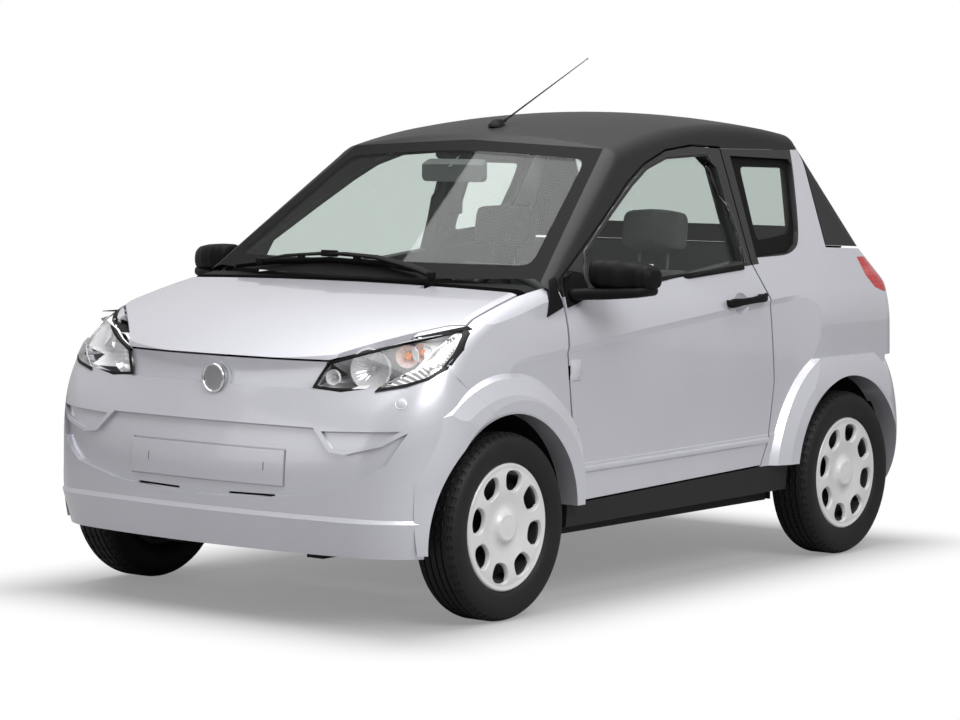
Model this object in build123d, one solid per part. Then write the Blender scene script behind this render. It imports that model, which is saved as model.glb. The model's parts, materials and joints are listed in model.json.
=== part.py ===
from build123d import *
from collections import namedtuple
import math
import os

# A small two-seat city car in millimetres. +X is its left, -Y its front, +Z up, and the
# origin lies on the ground below the middle of its length.

# Driving dimensions
length = 2750
half_width = 735
wheelbase = 1828
axle_shift = 25
tyre_radius = 266.5
tyre_width = 145
wheel_face = 734
bead_radius = 165
hub_radius = 24
cover_holes = 8
roof_height = 1437

front_end = -length / 2
rear_end = length / 2
front_axle = -wheelbase / 2 + axle_shift
rear_axle_y = wheelbase / 2 + axle_shift
hub_z = tyre_radius

# Walls and clearances
wall = 45
skin = 22
roof_skin = 38
glass = 6
lens = 4
seat_gap = 0.3
pin_gap = 0.2
shut_gap = 7

# Plan outlines of the front: height, setback of the nose from the front end, how far the nose
# bows back at the corner, inset and radius of the corner, inset of the door edge.
Plan = namedtuple("Plan", "z nose bow corner_in corner_round door_in")
bumper_plans = [
    Plan(205, 34, 80, 20, 240, 47),
    Plan(300, 9, 70, 0, 250, 41),
    Plan(430, 7, 70, 0, 250, 33),
    Plan(554, 30, 62, 5, 220, 29),
    Plan(645, 62, 86, 20, 150, 30),
    Plan(735, 66, 155, 33, 120, 32),
]
lip_plans = [
    Plan(205, 26, 80, 12, 240, 47),
    Plan(304, 0, 70, 0, 250, 41),
    Plan(324, 12, 70, 5, 250, 41),
]
flare_plans = [
    Plan(205, 12, 74, 5, 250, 25),
    Plan(430, 7, 70, 0, 250, 10),
    Plan(600, 40, 70, 0, 240, 10),
    Plan(800, 60, 90, 8, 220, 15),
]
wing_plans = [
    Plan(205, 64, 30, 40, 170, 47),
    Plan(305, 64, 30, 32, 170, 41),
    Plan(405, 64, 30, 26, 170, 34),
    Plan(525, 64, 55, 22, 160, 29),
    Plan(645, 64, 90, 22, 150, 30),
    Plan(735, 70, 158, 33, 130, 32),
    Plan(810, 110, 232, 42, 135, 39),
    Plan(890, 180, 310, 60, 130, 60),
    Plan(980, 275, 410, 90, 120, 90),
]
front_back_y = front_end + 835

# Crowns seen along the car: place from the front end, height at the middle, drop at the
# shoulder, and how far out the shoulder starts to turn down.
Crown = namedtuple("Crown", "along mid drop side")
bonnet_crowns = [
    Crown(-75, 650, 52, 720),
    Crown(67, 733, 38, 700),
    Crown(185, 793, 30, 680),
    Crown(375, 866, 20, 640),
    Crown(575, 914, 12, 616),
    Crown(775, 950, 7, 600),
    Crown(1000, 985, 5, 580),
]
shoulder_round = 84

# The tail's plan outlines: height, setback from the rear end, inset of the side.
Tail = namedtuple("Tail", "z setback side_in")
tail_plans = [
    Tail(205, 35, 35),
    Tail(300, 12, 5),
    Tail(450, 14, 0),
    Tail(560, 36, 8),
    Tail(650, 74, 28),
]
tail_corner = 170

# Body side: the lean of the glasshouse and the places its arcs pass through, as (x, z)
side_lean = 0.33
side_foot = (688, 205)
side_belly = (706, 560)
side_hip = (700, 813)
hip_round = 400

# Roof and windscreen
roof_round = 60
screen_round = 50
tail_round = 80
roof_along_radius = 2600
roof_cross_radius = 3000
roof_centre_z = roof_height - roof_along_radius
roof_top_y = 500
screen_rake = math.radians(34.8)
screen_base = (-765, 910)
screen_bow = 3800

# Arches and wheel tubs
lip_radius = 320
liner_radius = 338
liner_wall = 6
liner_inner = 430
flare_reach = 14
flare_fade = 30

# Floor
pan_low = 205
pan_high = 240
sill_in = 643.5
firewall_y = front_axle + 318
firewall = 18
tub_rear_y = rear_axle_y - 345
deck_z = 452

# Bonnet and its hinge
lid_back_y = front_end + 635
lid_half = 634
cowl_half = 641
lid_hinge_y = lid_back_y - 12
lid_hinge_z = 886
lid_pin = 6
lid_lug = 12
lid_lugs = (350, 380)
wiper_foot = (310, -724)
wiper_notch = 14

# Hatch hinge
hatch_hinge = (917.5, 1385)
hatch_gap = 13
hatch_pin = 4
hatch_knuckle = 8
hatch_knuckles = (250, 290)

# Door hinge
hinge_x = 697
hinge_y = -528
hinge_heights = (500, 680)
hinge_radius = 6
hinge_tall = 30

# Steering and axles
kingpin_x = 560
kingpin_radius = 16
spindle = 23.8
beam_radius = 28
engine_half = (215, 190)
engine_heights = (205, 600)

# Nose: the sunk panel between the lamps, the bare round disc and the moulded recess
nose_panel_sink = 7
disc_radius = 43
disc_z = 672
disc_face_y = front_end + 58
recess_sink = 13
plate_sink = 8
plate_size = (288, 390, 487)
plate_groove = 4
plate_lift = 30

# Side panel: height of the band above it
swage_band = 20

# Outlines in side view, as (y, z)
door_outline = [
    (-525, 305), (-573, 754), (-571, 856), (-559, 945), (-394, 1040), (-210, 1149), (-100, 1217),
    (10, 1271), (148, 1314), (300, 1329), (450, 1322), (460, 965), (518, 850), (527, 594),
    (492, 407), (455, 330),
]
door_window = [
    (-440, 912), (-400, 1020), (-216, 1130), (-77, 1210), (21, 1258), (139, 1290), (360, 1299),
    (405, 1262), (412, 972), (-60, 922),
]
quarter_window = [
    (500, 1300), (840, 1288), (850, 1270), (781, 1056), (755, 1015), (703, 990), (500, 980),
]
nose_outline = [
    (-1600, 733), (-1118, 733), (-1118, 712), (-1037, 647), (-946, 561), (-880, 450),
    (-880, 100), (-1600, 100),
]
wing_outline = [
    (-1118, 1100), (-1118, 712), (-1037, 647), (-946, 561), (-880, 450), (-880, 299.3),
    (-520, 299.3), (-520, 1100),
]
hatch_outline = [
    (935, 1008), (1300, 992), (1300, 1330), (1010, 1392), (918, 1392), (935, 1283),
]
roof_outline = [
    (-900, 860), (-571, 860), (-559, 945), (-210, 1149), (10, 1271), (148, 1314), (300, 1329),
    (450, 1322), (905, 1318), (935, 1330), (1100, 1330), (1100, 1500), (-900, 1500),
]
quarter_outline = [
    (440, 324.3), (440, 1321.7), (904, 1317.7), (934, 1329.7), (1400, 1329.7), (1400, 640.3),
    (1206, 640.3), (1179.7, 520), (1120, 100), (700, 100), (640, 324.3),
]
rear_bumper_outline = [(1120, 100), (1180, 520), (1206, 640), (1400, 640), (1400, 100)]
sill_outline = [(-650, 232), (-650, 299), (-525, 299), (455, 324), (700, 324), (700, 240)]
tail_outline = [(1000, 640.3), (1400, 640.3), (1400, 1100), (1000, 1100)]
tail_half = 470
tail_lamp_outline = [(1105, 966), (1132, 905), (1172, 864), (1218, 850), (1330, 846), (1330, 966)]
tail_lamp_in = 545
mirror_profile = [(-700, 908), (-560, 897), (-400, 890), (-372, 905), (-375, 985), (-400, 1012), (-700, 1016)]

# Outlines in front view, as (x, z)
screen_outline = [(-640, 925), (-487, 1322), (0, 1345), (487, 1322), (640, 925), (0, 890)]
lamp_outline = [
    (342, 661), (379, 733), (520, 779), (664, 823), (662, 790), (640, 722), (560, 674), (436, 654),
]
nose_panel = [(352, 657), (390, 760)]
recess_top = [(380, 556), (445, 494), (495, 489), (600, 516), (656, 553)]
recess_foot = [(615, 468), (520, 403), (355, 367), (100, 348)]
pocket = [(408, 548), (640, 558), (596, 526), (500, 500), (452, 504)]
slot = [(95, 355), (260, 358), (260, 364), (95, 361)]

# The band along the side: place along the car and height, its foot at the sill
Band = namedtuple("Band", "y z foot depth")
side_bands = [
    Band(-900, 732, 400, -4),
    Band(-760, 744, 400, 5),
    Band(-567, 758, 400, 7),
    Band(530, 850, 412, 7),
    Band(650, 860, 414, 4),
    Band(800, 872, 416, -4),
]

parts = {}


def rounded_face(edges, rounds):
    """A flat face whose corners near the given places are rounded: {(u, v): radius}."""
    face = Face(Wire(edges))
    for place, radius in rounds.items():
        spot = Vector(*place)
        corner = min(face.vertices(), key=lambda end: (Vector(end.X, end.Y) - spot).length)
        face = face.fillet_2d(radius, [corner])
    return face


def rounded_polygon(points, radius):
    """A flat polygon with every corner rounded alike."""
    face = Face(Wire.make_polygon(points))
    return face.fillet_2d(radius, face.vertices())


def ring_of(points):
    """Straight edges that join the points in a closed ring."""
    return [Line(points[i - 1], points[i]) for i in range(len(points))]


def prism(points, vector):
    return Solid.extrude(Face(Wire.make_polygon(points)), Vector(*vector))


def side_prism(points, start=0, stop=900):
    """A side-view outline of (y, z) points, run across the car."""
    return prism([(start, y, z) for y, z in points], (stop - start, 0, 0))


def front_prism(points, start, stop):
    """A front-view outline of (x, z) points, run along the car."""
    return prism([(x, start, z) for x, z in points], (0, stop - start, 0))


def top_prism(points, low=0, high=1600):
    """A plan outline of (x, y) points, run upwards."""
    return prism([(x, y, low) for x, y in points], (0, 0, high - low))


def standing(face, start, stop):
    """A face drawn as (x, z) run along the car between two y places."""
    plane = Plane((0, start, 0), x_dir=(1, 0, 0), z_dir=(0, -1, 0))
    return Solid.extrude(plane * face, Vector(0, stop - start, 0))


def lying(face, start, stop):
    """A face drawn as (y, z) run across the car between two x places."""
    plane = Plane((start, 0, 0), x_dir=(0, 1, 0), z_dir=(1, 0, 0))
    return Solid.extrude(plane * face, Vector(stop - start, 0, 0))


def block(x, y, z):
    """A box from three (low, high) pairs."""
    size = [pair[1] - pair[0] for pair in (x, y, z)]
    middle = [(pair[1] + pair[0]) / 2 for pair in (x, y, z)]
    return Pos(*middle) * Box(*size)


def across(radius, x, y, z):
    """A cylinder lying across the car between two x places."""
    return Pos((x[0] + x[1]) / 2, y, z) * Rot(0, 90, 0) * Cylinder(radius, x[1] - x[0])


def facing(radius, x, y, z):
    """A cylinder along the car between two y places."""
    return Pos(x, (y[0] + y[1]) / 2, z) * Rot(90, 0, 0) * Cylinder(radius, y[1] - y[0])


def span(side, near, far):
    """An (x, x) pair on one side of the car, low end first."""
    return tuple(sorted((side * near, side * far)))


def both(shape):
    """A shape and its mirror image on the other side of the car."""
    return shape, mirror(shape, about=Plane.YZ)


def mirrored(points):
    """A half outline joined to its mirror image, as one closed outline."""
    return points + [(-x, z) for x, z in reversed(points)]


def grow(points, amount):
    """The points of an outline offset outwards by an amount, with square corners."""
    count = len(points)
    area = sum(points[i - 1][0] * points[i][1] - points[i][0] * points[i - 1][1] for i in range(count))
    turn = 1 if area > 0 else -1
    grown = []
    for i, (u, v) in enumerate(points):
        before = Vector(u - points[i - 1][0], v - points[i - 1][1]).normalized()
        after = points[(i + 1) % count]
        after = Vector(after[0] - u, after[1] - v).normalized()
        miter = Vector(before.Y + after.Y, -before.X - after.X)
        scale = 2 * turn * amount / (miter.length * miter.length)
        grown.append((u + miter.X * scale, v + miter.Y * scale))
    return grown


def plan_outline(row, inset):
    """The plan outline of the front at its height, moved inwards by the inset."""
    nose = front_end + row.nose + inset
    corner = (half_width - row.corner_in - inset, nose + row.bow)
    back = (half_width - row.door_in - inset, front_back_y + inset)
    points = [corner, back, (-back[0], back[1]), (-corner[0], corner[1])]
    edges = [Line(points[i], points[i + 1]) for i in range(3)]
    edges.append(ThreePointArc(points[3], (0, nose), points[0]))
    radius = row.corner_round - inset
    face = rounded_face(edges, {corner: radius, points[3]: radius})
    return Pos(0, 0, row.z) * face


def front_form(rows, inset=0, ruled=False):
    """The front's outer form, lofted through its plan outlines."""
    wires = [plan_outline(row, inset).outer_wire() for row in rows]
    return Solid.make_loft(wires, ruled)


def crown_form(rows, sink=0):
    """A solid below the bonnet's crown, made of cross-sections with rounded shoulders."""
    wires = []
    skirt = 95
    for row in rows:
        y = front_end + row.along
        mid = row.mid - sink
        edge = mid - row.drop
        side = row.side - sink / 2
        turn = side + shoulder_round
        low = edge - shoulder_round
        bulge = (side + 0.68 * shoulder_round, edge - 0.34 * shoulder_round)
        right = [(turn, low), (turn + skirt, low - 220), (turn + skirt, -200)]
        outline = [
            ThreePointArc((-side, y, edge), (0, y, mid), (side, y, edge)),
            ThreePointArc((side, y, edge), (bulge[0], y, bulge[1]), (turn, y, low)),
        ]
        ends = right + [(-x, z) for x, z in reversed(right)]
        for start, stop in zip(ends, ends[1:]):
            outline.append(Line((start[0], y, start[1]), (stop[0], y, stop[1])))
        outline.append(ThreePointArc((-turn, y, low), (-bulge[0], y, bulge[1]), (-side, y, edge)))
        wires.append(Wire(outline))
    return Solid.make_loft(wires)


def side_section(inset, low=205, high=1520):
    """The body's cross-section between its door skins, as a flat face of (x, z) points."""
    edges = []
    rounds = {}
    for side in (1, -1):
        foot = (side * (side_foot[0] - inset), low)
        belly = (side * (side_belly[0] - inset), side_belly[1])
        hip = (side * (side_hip[0] - inset), side_hip[1])
        top = (hip[0] - side * (high - side_hip[1]) * side_lean, high)
        edges.append(ThreePointArc(foot, belly, hip))
        edges.append(Line(hip, top))
        rounds[hip] = hip_round
    edges.append(Line(edges[1] @ 1, edges[3] @ 1))
    edges.append(Line(edges[0] @ 0, edges[2] @ 0))
    return rounded_face(edges, rounds)


def side_wall(outset, thick):
    """The body side between two depths below its skin, at full length."""
    start, stop = -900, 1400
    return standing(side_section(outset), start, stop) - standing(side_section(outset + thick), start, stop)


def skin_x(z):
    """How far out the body side stands at a height."""
    lift = side_hip[1] - side_belly[1]
    bow = (side_belly[0] - side_hip[0]) / (lift * lift)
    x = side_belly[0] - bow * (z - side_belly[1]) * abs(z - side_belly[1])
    soft = z - side_hip[1] + hip_round * side_lean / 2.4
    return x - (soft * soft / (2 * hip_round) if soft > 0 else 0)


def side_panel_tool():
    """What is cut from the body sides to sink the panel below the slanting band."""
    wires = []
    for band in side_bands:
        top, inner = band.z, band.z - swage_band
        foot = band.foot + 14
        middle = (inner + foot) / 2
        out = 760
        arc = ThreePointArc(
            (skin_x(inner) - band.depth, band.y, inner),
            (skin_x(middle) - band.depth - 0.5, band.y, middle),
            (skin_x(foot) - band.depth, band.y, foot),
        )
        low = (skin_x(band.foot) + 1, band.y, band.foot)
        high = (skin_x(top) + 1, band.y, top)
        wires.append(Wire([
            arc, Line(arc @ 1, low), Line(low, (out, band.y, band.foot - 20)),
            Line((out, band.y, band.foot - 20), (out, band.y, top + 20)),
            Line((out, band.y, top + 20), high), Line(high, arc @ 0),
        ]))
    return Solid.make_loft(wires, True)


def flare(axle_y, form):
    """The raised ring over a wheel, as wide as the arch lip, within the plan of its bumper."""
    points = [
        (672, lip_radius), (740, lip_radius), (747, lip_radius + 12), (741, 372), (722, 418),
        (683, 450), (672, 450),
    ]
    section = Face(Wire.make_polygon([(x, axle_y, hub_z + r) for x, r in points]))
    ring = Solid.revolve(section, 360, Axis((0, axle_y, hub_z), (1, 0, 0)))
    return ring & form & block((600, 800), (axle_y - 500, axle_y + 500), (215, 900))


def arch_hole(axle_y):
    return across(lip_radius, (liner_inner, 900), axle_y, hub_z)


def front_flare():
    return flare(front_axle, Pos(0, flare_fade, 0) * front_form(flare_plans, -flare_reach))


def rear_flare():
    return flare(rear_axle_y, Pos(0, -flare_fade, 0) * rear_bumper_form(-flare_reach))


def bonnet_shell():
    """The skin of the bonnet and wings in one, before it is split."""
    outer = front_form(wing_plans) & crown_form(bonnet_crowns)
    return outer - (front_form(wing_plans, skin) & crown_form(bonnet_crowns, sink=skin))


def headlamps():
    """Clear lenses that follow the wing's skin, over bowls with round reflectors."""
    zone = front_prism(lamp_outline, -1500, -1010)
    body = front_form(wing_plans) & crown_form(bonnet_crowns) & zone
    behind = front_form(wing_plans, lens) & crown_form(bonnet_crowns, sink=lens)
    parts["headlamp_lenses"] = Compound(both(body - behind))
    cup = front_form(wing_plans, lens + seat_gap) & crown_form(bonnet_crowns, sink=lens + seat_gap)
    cup = (cup & zone) - front_form(wing_plans, 85)
    for x, y, z, radius in ((475, -1232, 716, 50), (575, -1165, 757, 36), (392, -1292, 690, 26)):
        cup -= Pos(x, y, z) * Sphere(radius)
    parts["headlamp_bowls"] = Compound(both(cup))


def bonnet(shell):
    """The opening lid and its hinge lugs, and the space it needs in the wings."""
    plan = mirrored([(400, -1500), (400, -1240), (655, -1000), (lid_half, lid_back_y)])
    front = mirrored([(379, 739), (657, 829), (760, 866), (760, 1200)])
    lid = shell & top_prism(plan) & front_prism(front, -1500, lid_back_y)
    for side in (1, -1):
        lug = across(lid_lug, span(side, *lid_lugs), lid_hinge_y, lid_hinge_z)
        web = (lid_hinge_y - lid_lug, lid_hinge_y + lid_lug)
        lug += block(span(side, *lid_lugs), web, (lid_hinge_z, lid_hinge_z + 18))
        lid += lug
        bore = span(side, lid_lugs[0] - 10, lid_lugs[1] + 10)
        lid -= across(lid_pin + pin_gap, bore, lid_hinge_y, lid_hinge_z)
    notch = (wiper_foot[0] - wiper_notch, wiper_foot[0] + wiper_notch)
    lid -= block(notch, (lid_back_y - 30, -700), (800, 1000))
    clear = front_prism(grow(front, shut_gap), -1500, lid_back_y + shut_gap)
    return lid, top_prism(grow(plan, shut_gap)) & clear


def wings(shell, lid_clear):
    ring = front_flare() & side_prism(wing_outline)
    wing = (shell & side_prism(wing_outline, lid_half - 70)) - side_panel_tool() + ring
    wing = wing - lid_clear - front_prism(grow(lamp_outline, seat_gap), -1500, -900)
    wing -= block((0, cowl_half + seat_gap), (lid_back_y, -500), (700, 1100))
    wing -= side_prism(grow(nose_outline, seat_gap))
    wing = wing - arch_hole(front_axle) - side_prism(grow(door_outline, shut_gap))
    return both(wing)


def cowl(shell):
    """The black tray and sill below the windscreen."""
    half = cowl_half
    sill = [(-704, 800), (-655, 800), (-655, 1000), (-704, 1000)]
    piece = shell & side_prism(sill, -half, half)
    tray = crown_form(bonnet_crowns, sink=44) - crown_form(bonnet_crowns, sink=60)
    piece += tray & side_prism([(-727, 800), (-690, 800), (-690, 1000), (-727, 1000)], -half, half)
    riser = side_prism([(-704, 866), (-690, 866), (-690, 915), (-704, 915)], -half, half)
    return piece + (riser & crown_form(bonnet_crowns))


def front_bumper():
    """The moulded nose: sunk panel, recess, plate pad, slots, pockets and lower lip."""
    outer = front_form(bumper_plans)
    nose = outer - front_form(bumper_plans, skin)
    lip = front_form(lip_plans, ruled=True) - front_form(lip_plans, skin, ruled=True)
    nose = (nose + lip) & side_prism(nose_outline, -900)
    panel = front_prism(mirrored(nose_panel), -1500, -1200)
    disc_y = (disc_face_y, disc_face_y + 14)
    nose -= panel - front_form(bumper_plans, nose_panel_sink)
    nose += facing(disc_radius + 9, 0, (disc_face_y + 2, disc_face_y + 20), disc_z - 6) & outer
    nose -= facing(disc_radius + seat_gap, 0, (disc_y[0] - 40, disc_y[1] - 2), disc_z)
    recess = front_prism(mirrored(recess_top + recess_foot), -1500, -1100)
    half, low, high = plate_size
    pad = front_prism([(-half, low), (half, low), (half, high), (-half, high)], -1500, -1200)
    rim = grow([(-half, low), (half, low), (half, high), (-half, high)], plate_groove)
    rim = front_prism(rim, -1500, -1200) - pad
    nose -= recess - front_form(bumper_plans, recess_sink) - pad - rim
    nose -= pad - front_form(bumper_plans, plate_sink)
    nose -= rim - front_form(bumper_plans, recess_sink + plate_groove)
    for side in (1, -1):
        hole = front_prism([(side * x, z) for x, z in pocket], -1500, -1100)
        nose -= hole - front_form(bumper_plans, recess_sink - 3)
        nose -= front_prism([(side * x, z) for x, z in slot], -1500, -1200)
        bolt = [(side * 217, 428), (side * 221, 428), (side * 221, 452), (side * 217, 452)]
        nose -= front_prism(bolt, -1500, front_end + 26)
        lamp = [(side * x, z) for x, z in grow(lamp_outline, seat_gap)]
        nose -= front_prism(lamp, -1500, -900)
    for ring in both(front_flare() & side_prism(nose_outline)):
        nose += ring
    for hole in both(arch_hole(front_axle)):
        nose -= hole
    disc = facing(disc_radius, 0, (disc_y[0], disc_y[1] - 2 - seat_gap), disc_z)
    dome = Pos(0, disc_y[0] + 235, disc_z) * Sphere(240)
    parts["nose_disc"] = disc & dome
    return nose


def front_panels():
    shell = bonnet_shell()
    headlamps()
    parts["bonnet"], lid_clear = bonnet(shell)
    parts["wing_left"], parts["wing_right"] = wings(shell, lid_clear)
    parts["cowl"] = cowl(shell)
    parts["front_bumper"] = front_bumper()


def doors():
    """Doors with their window frames, glass, mirrors and handles."""
    panel = (side_wall(0, wall) & side_prism(door_outline)) - side_prism(door_window)
    panel -= side_panel_tool()
    for z in hinge_heights:
        knuckle = Pos(hinge_x, hinge_y, z) * Cylinder(hinge_radius + seat_gap, hinge_tall + 2)
        height = hinge_tall / 2 + 6
        space = block((500, hinge_x), (-700, hinge_y + 12), (z - height, z + height))
        panel = panel - knuckle - space
    cup_y, cup_z, cup_radius = 353, 848, 63
    panel -= Pos(skin_x(cup_z) + cup_radius - 16, cup_y, cup_z) * Sphere(cup_radius)
    parts["door_left"], parts["door_right"] = both(panel)
    pane = side_wall(18, glass) & side_prism(grow(door_window, -seat_gap))
    parts["door_glass_left"], parts["door_glass_right"] = both(pane)
    parts["mirror_left"], parts["mirror_right"] = both(door_mirror())
    parts["handle_left"], parts["handle_right"] = both(door_handle())


def door_mirror():
    """A rounded housing on an arm that seats against the door."""
    plan = [(712, -505), (735, -533), (810, -495), (888, -425), (884, -385), (860, -372), (720, -398)]
    housing = Solid.extrude(Pos(0, 0, 880) * rounded_polygon(plan, 12), Vector(0, 0, 150))
    housing &= lying(rounded_polygon(mirror_profile, 14), 600, 900)
    face = [(600, 895), (888, 905), (888, 985), (870, 1002), (725, 1017), (600, 1017)]
    housing &= standing(rounded_polygon(face, 14), -700, -300)
    arm = block((650, 760), (-520, -455), (898, 930))
    return (housing + arm) - standing(side_section(-seat_gap), -900, 1400)


def door_handle():
    lever = side_prism([(262, 838), (268, 852), (470, 868), (480, 857), (470, 848)], 600, 760)
    ends = side_prism([(262, 838), (268, 852), (292, 854), (292, 838)], 600, 760)
    ends += side_prism([(440, 845), (440, 866), (470, 868), (480, 857), (470, 848)], 600, 760)
    bar = standing(side_section(-24), -900, 1400) - standing(side_section(-10), -900, 1400)
    feet = standing(side_section(-12), -900, 1400) - standing(side_section(-seat_gap), -900, 1400)
    return (lever & bar) + (ends & feet)


def tail_profile(inset):
    """The side view of the tail and the sloping rear window, as a face of (y, z) points."""
    ledge = (1296 - inset, 878)
    foot = (1180 - inset, 996)
    crest = (874 - inset, 1450)
    corners = [(1292 - inset, 205), ledge, foot, crest, (-900, 1450), (-900, 205)]
    return rounded_face(ring_of(corners), {ledge: 90, foot: 200})


def closed_under(arc, reach, edge, far):
    """The flat face between an arc across the car and a straight line at far."""
    sides = [
        Line((reach, edge), (reach, far)), Line((reach, far), (-reach, far)),
        Line((-reach, far), (-reach, edge)),
    ]
    return Face(Wire([arc, *sides]))


def roof_cap(inset):
    """The double crown of the roof: an arc across the car turned about an axis far below."""
    low = roof_centre_z
    reach = 760
    height = roof_height - inset - low
    edge = height - reach * reach / (2 * roof_cross_radius)
    arc = ThreePointArc((-reach, edge), (0, height), (reach, edge))
    section = Plane((0, roof_top_y, low), x_dir=(1, 0, 0), z_dir=(0, -1, 0)) * closed_under(arc, reach, edge, 600)
    return Solid.revolve(section, 360, Axis((0, roof_top_y, low), (1, 0, 0)))


def screen_form(inset):
    """Everything behind the bowed windscreen plane."""
    slope = Vector(0, math.cos(screen_rake), math.sin(screen_rake))
    base = Vector(0, *screen_base) + Vector(0, slope.Z, -slope.Y) * inset
    plane = Plane(base - slope * 1500, x_dir=(1, 0, 0), z_dir=slope)
    reach = 760
    deep = 3000
    bow = reach * reach / (2 * screen_bow)
    arc = ThreePointArc((-reach, bow), (0, 0), (reach, bow))
    return Solid.extrude(plane * closed_under(arc, reach, bow, deep), slope * 4000)


def tub_form(inset, cap, rounded=False):
    """The cabin and tail, inset at the walls and capped lower by the roof's own thickness."""
    form = standing(side_section(inset), -900, 1400) & lying(tail_profile(inset), -900, 900)
    if rounded:
        corners = [e for e in form.edges() if abs(e.center().X) > 450 and e.center().Y > 1000]
        corners = [e for e in corners if e.geom_type != GeomType.LINE or e.center().Z > 960]
        form = form.fillet(tail_round, corners)
    form &= roof_cap(cap)
    form &= screen_form(inset)
    if rounded:
        sides = [e for e in form.edges() if abs(e.center().X) > 450]
        form = form.fillet(roof_round, [e for e in sides if e.center().Z > 1330 and e.length > 300])
        sides = [e for e in form.edges() if abs(e.center().X) > 450 and e.length > 300]
        posts = [e for e in sides if -650 < e.center().Y < -200 and e.center().Z > 960]
        form = form.fillet(screen_round, posts)
    return form


def tub_panels():
    """Roof, windscreen, quarters, tail panel and hatch, cut from one shell."""
    outer = tub_form(0, 0, rounded=True)
    shell = outer - tub_form(wall, roof_skin)
    above = crown_form([row._replace(mid=row.mid + 12) for row in bonnet_crowns])
    screen_hole = front_prism(screen_outline, -1000, 40)
    door_hole = side_prism(grow(door_outline, shut_gap), 300)
    hatch_hole = side_prism(grow(hatch_outline, shut_gap), -900)
    roof = (shell & side_prism(roof_outline, -900)) - above - screen_hole
    roof -= side_prism(grow(hatch_outline, hatch_gap), -900)
    for hole in both(door_hole):
        roof -= hole
    pane = outer - tub_form(glass, glass)
    parts["windscreen"] = (pane & front_prism(grow(screen_outline, -seat_gap), -1000, 40)) - above
    quarter = (shell & side_prism(quarter_outline)) - door_hole - hatch_hole - side_prism(quarter_window)
    quarter -= side_panel_tool()
    zone = block((tail_half, 900), (400, 1400), (100, 1500)) - side_prism(grow(roof_outline, seat_gap))
    quarter = (quarter & zone) + (rear_flare() & side_prism(quarter_outline))
    quarter -= arch_hole(rear_axle_y)
    quarter -= side_prism(tail_lamp_outline, tail_lamp_in)
    parts["quarter_left"], parts["quarter_right"] = both(quarter)
    lamp = shell & side_prism(grow(tail_lamp_outline, -seat_gap), tail_lamp_in + seat_gap)
    parts["tail_lamps"] = Compound(both(lamp))
    pane = side_wall(14, glass) & side_prism(grow(quarter_window, -seat_gap))
    parts["quarter_glasses"] = Compound(both(pane))
    tail = shell & side_prism(tail_outline, seat_gap - tail_half, tail_half - seat_gap)
    parts["tail_panel"] = tail - hatch_hole
    parts["rear_bumper"] = rear_bumper()
    hatch(shell, roof)


def hatch(shell, roof):
    """The rear window's frame and its wrapped glass, hung on knuckles in the roof gap."""
    lid = shell & side_prism(hatch_outline, -900)
    light = front_prism([(-480, 1060), (480, 1060), (420, 1330), (-420, 1330)], 900, 1400)
    room = block((-900, 900), (800, 1400), (900, 1450))
    inner = tub_form(glass + seat_gap, glass + seat_gap)
    frame = (lid & inner) - light
    y, z = hatch_hinge
    pane = lid & (room - tub_form(glass, glass))
    start, stop = hatch_knuckles
    middle = (start + stop) / 2
    for side in (1, -1):
        place = across(hatch_knuckle + 1, span(side, start - 2, stop + 2), y, z)
        leaf = across(hatch_knuckle, span(side, start, middle - 1), y, z)
        leaf += block(span(side, start, middle - 1), (y + 1, y + 16), (z - 50, z - 2)) & inner
        pane -= place
        bore = across(hatch_pin + pin_gap, span(side, start - 9, middle + 2), y, z)
        frame = frame - place + leaf - bore
        roof += across(hatch_pin, span(side, start + 4, middle + 2), y, z)
        roof += across(hatch_knuckle, span(side, middle, stop), y, z)
        roof += block(span(side, middle, stop), (y - 22, y), (z - 6, z + 3))
    parts["hatch_frame"] = frame
    parts["roof"] = roof
    parts["hatch_glass"] = pane


def rear_bumper_form(inset):
    """The tail's lower form, lofted through rounded plan outlines."""
    wires = []
    for row in tail_plans:
        y = rear_end - row.setback - inset
        x = half_width - row.side_in - inset
        start = rear_axle_y - 420 + inset
        corners = [(-x, start), (x, start), (x, y), (-x, y)]
        radius = tail_corner - inset
        outline = rounded_face(ring_of(corners), {corners[2]: radius, corners[3]: radius})
        wires.append((Pos(0, 0, row.z) * outline).outer_wire())
    return Solid.make_loft(wires)


def rear_bumper():
    bumper = (rear_bumper_form(0) - rear_bumper_form(skin)) & side_prism(rear_bumper_outline, -900)
    half, low, high = plate_size
    low, high = low + plate_lift, high + plate_lift
    place = front_prism([(-half, low), (half, low), (half, high), (-half, high)], 1200, 1500)
    bumper -= place - rear_bumper_form(plate_sink)
    for ring in both(rear_flare() & side_prism(rear_bumper_outline)):
        bumper += ring
    for hole in both(arch_hole(rear_axle_y)):
        bumper -= hole
    return bumper


def turned(points):
    """A profile of (x, r) points turned about the wheel axis."""
    face = Face(Wire.make_polygon([(x, 0, r) for x, r in points]))
    return Solid.revolve(face, 360, Axis((0, 0, 0), (1, 0, 0)))


def tyre_shape():
    """A tyre with four grooves round its tread."""
    inner = wheel_face - tyre_width
    half = [(22, bead_radius), (18, 185), (2, 212), (0, 235), (8, 256), (24, tyre_radius)]
    near_side = [(inner + x, r) for x, r in half]
    far_side = [(wheel_face - x, r) for x, r in reversed(half)]
    tyre = turned(near_side + far_side)
    middle = inner + tyre_width / 2
    for place in (-33, -11, 11, 33):
        start = middle + place - 2.5
        groove = [(start, tyre_radius - 6), (start + 5, tyre_radius - 6), (start + 5, 280), (start, 280)]
        tyre -= turned(groove)
    return tyre


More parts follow.
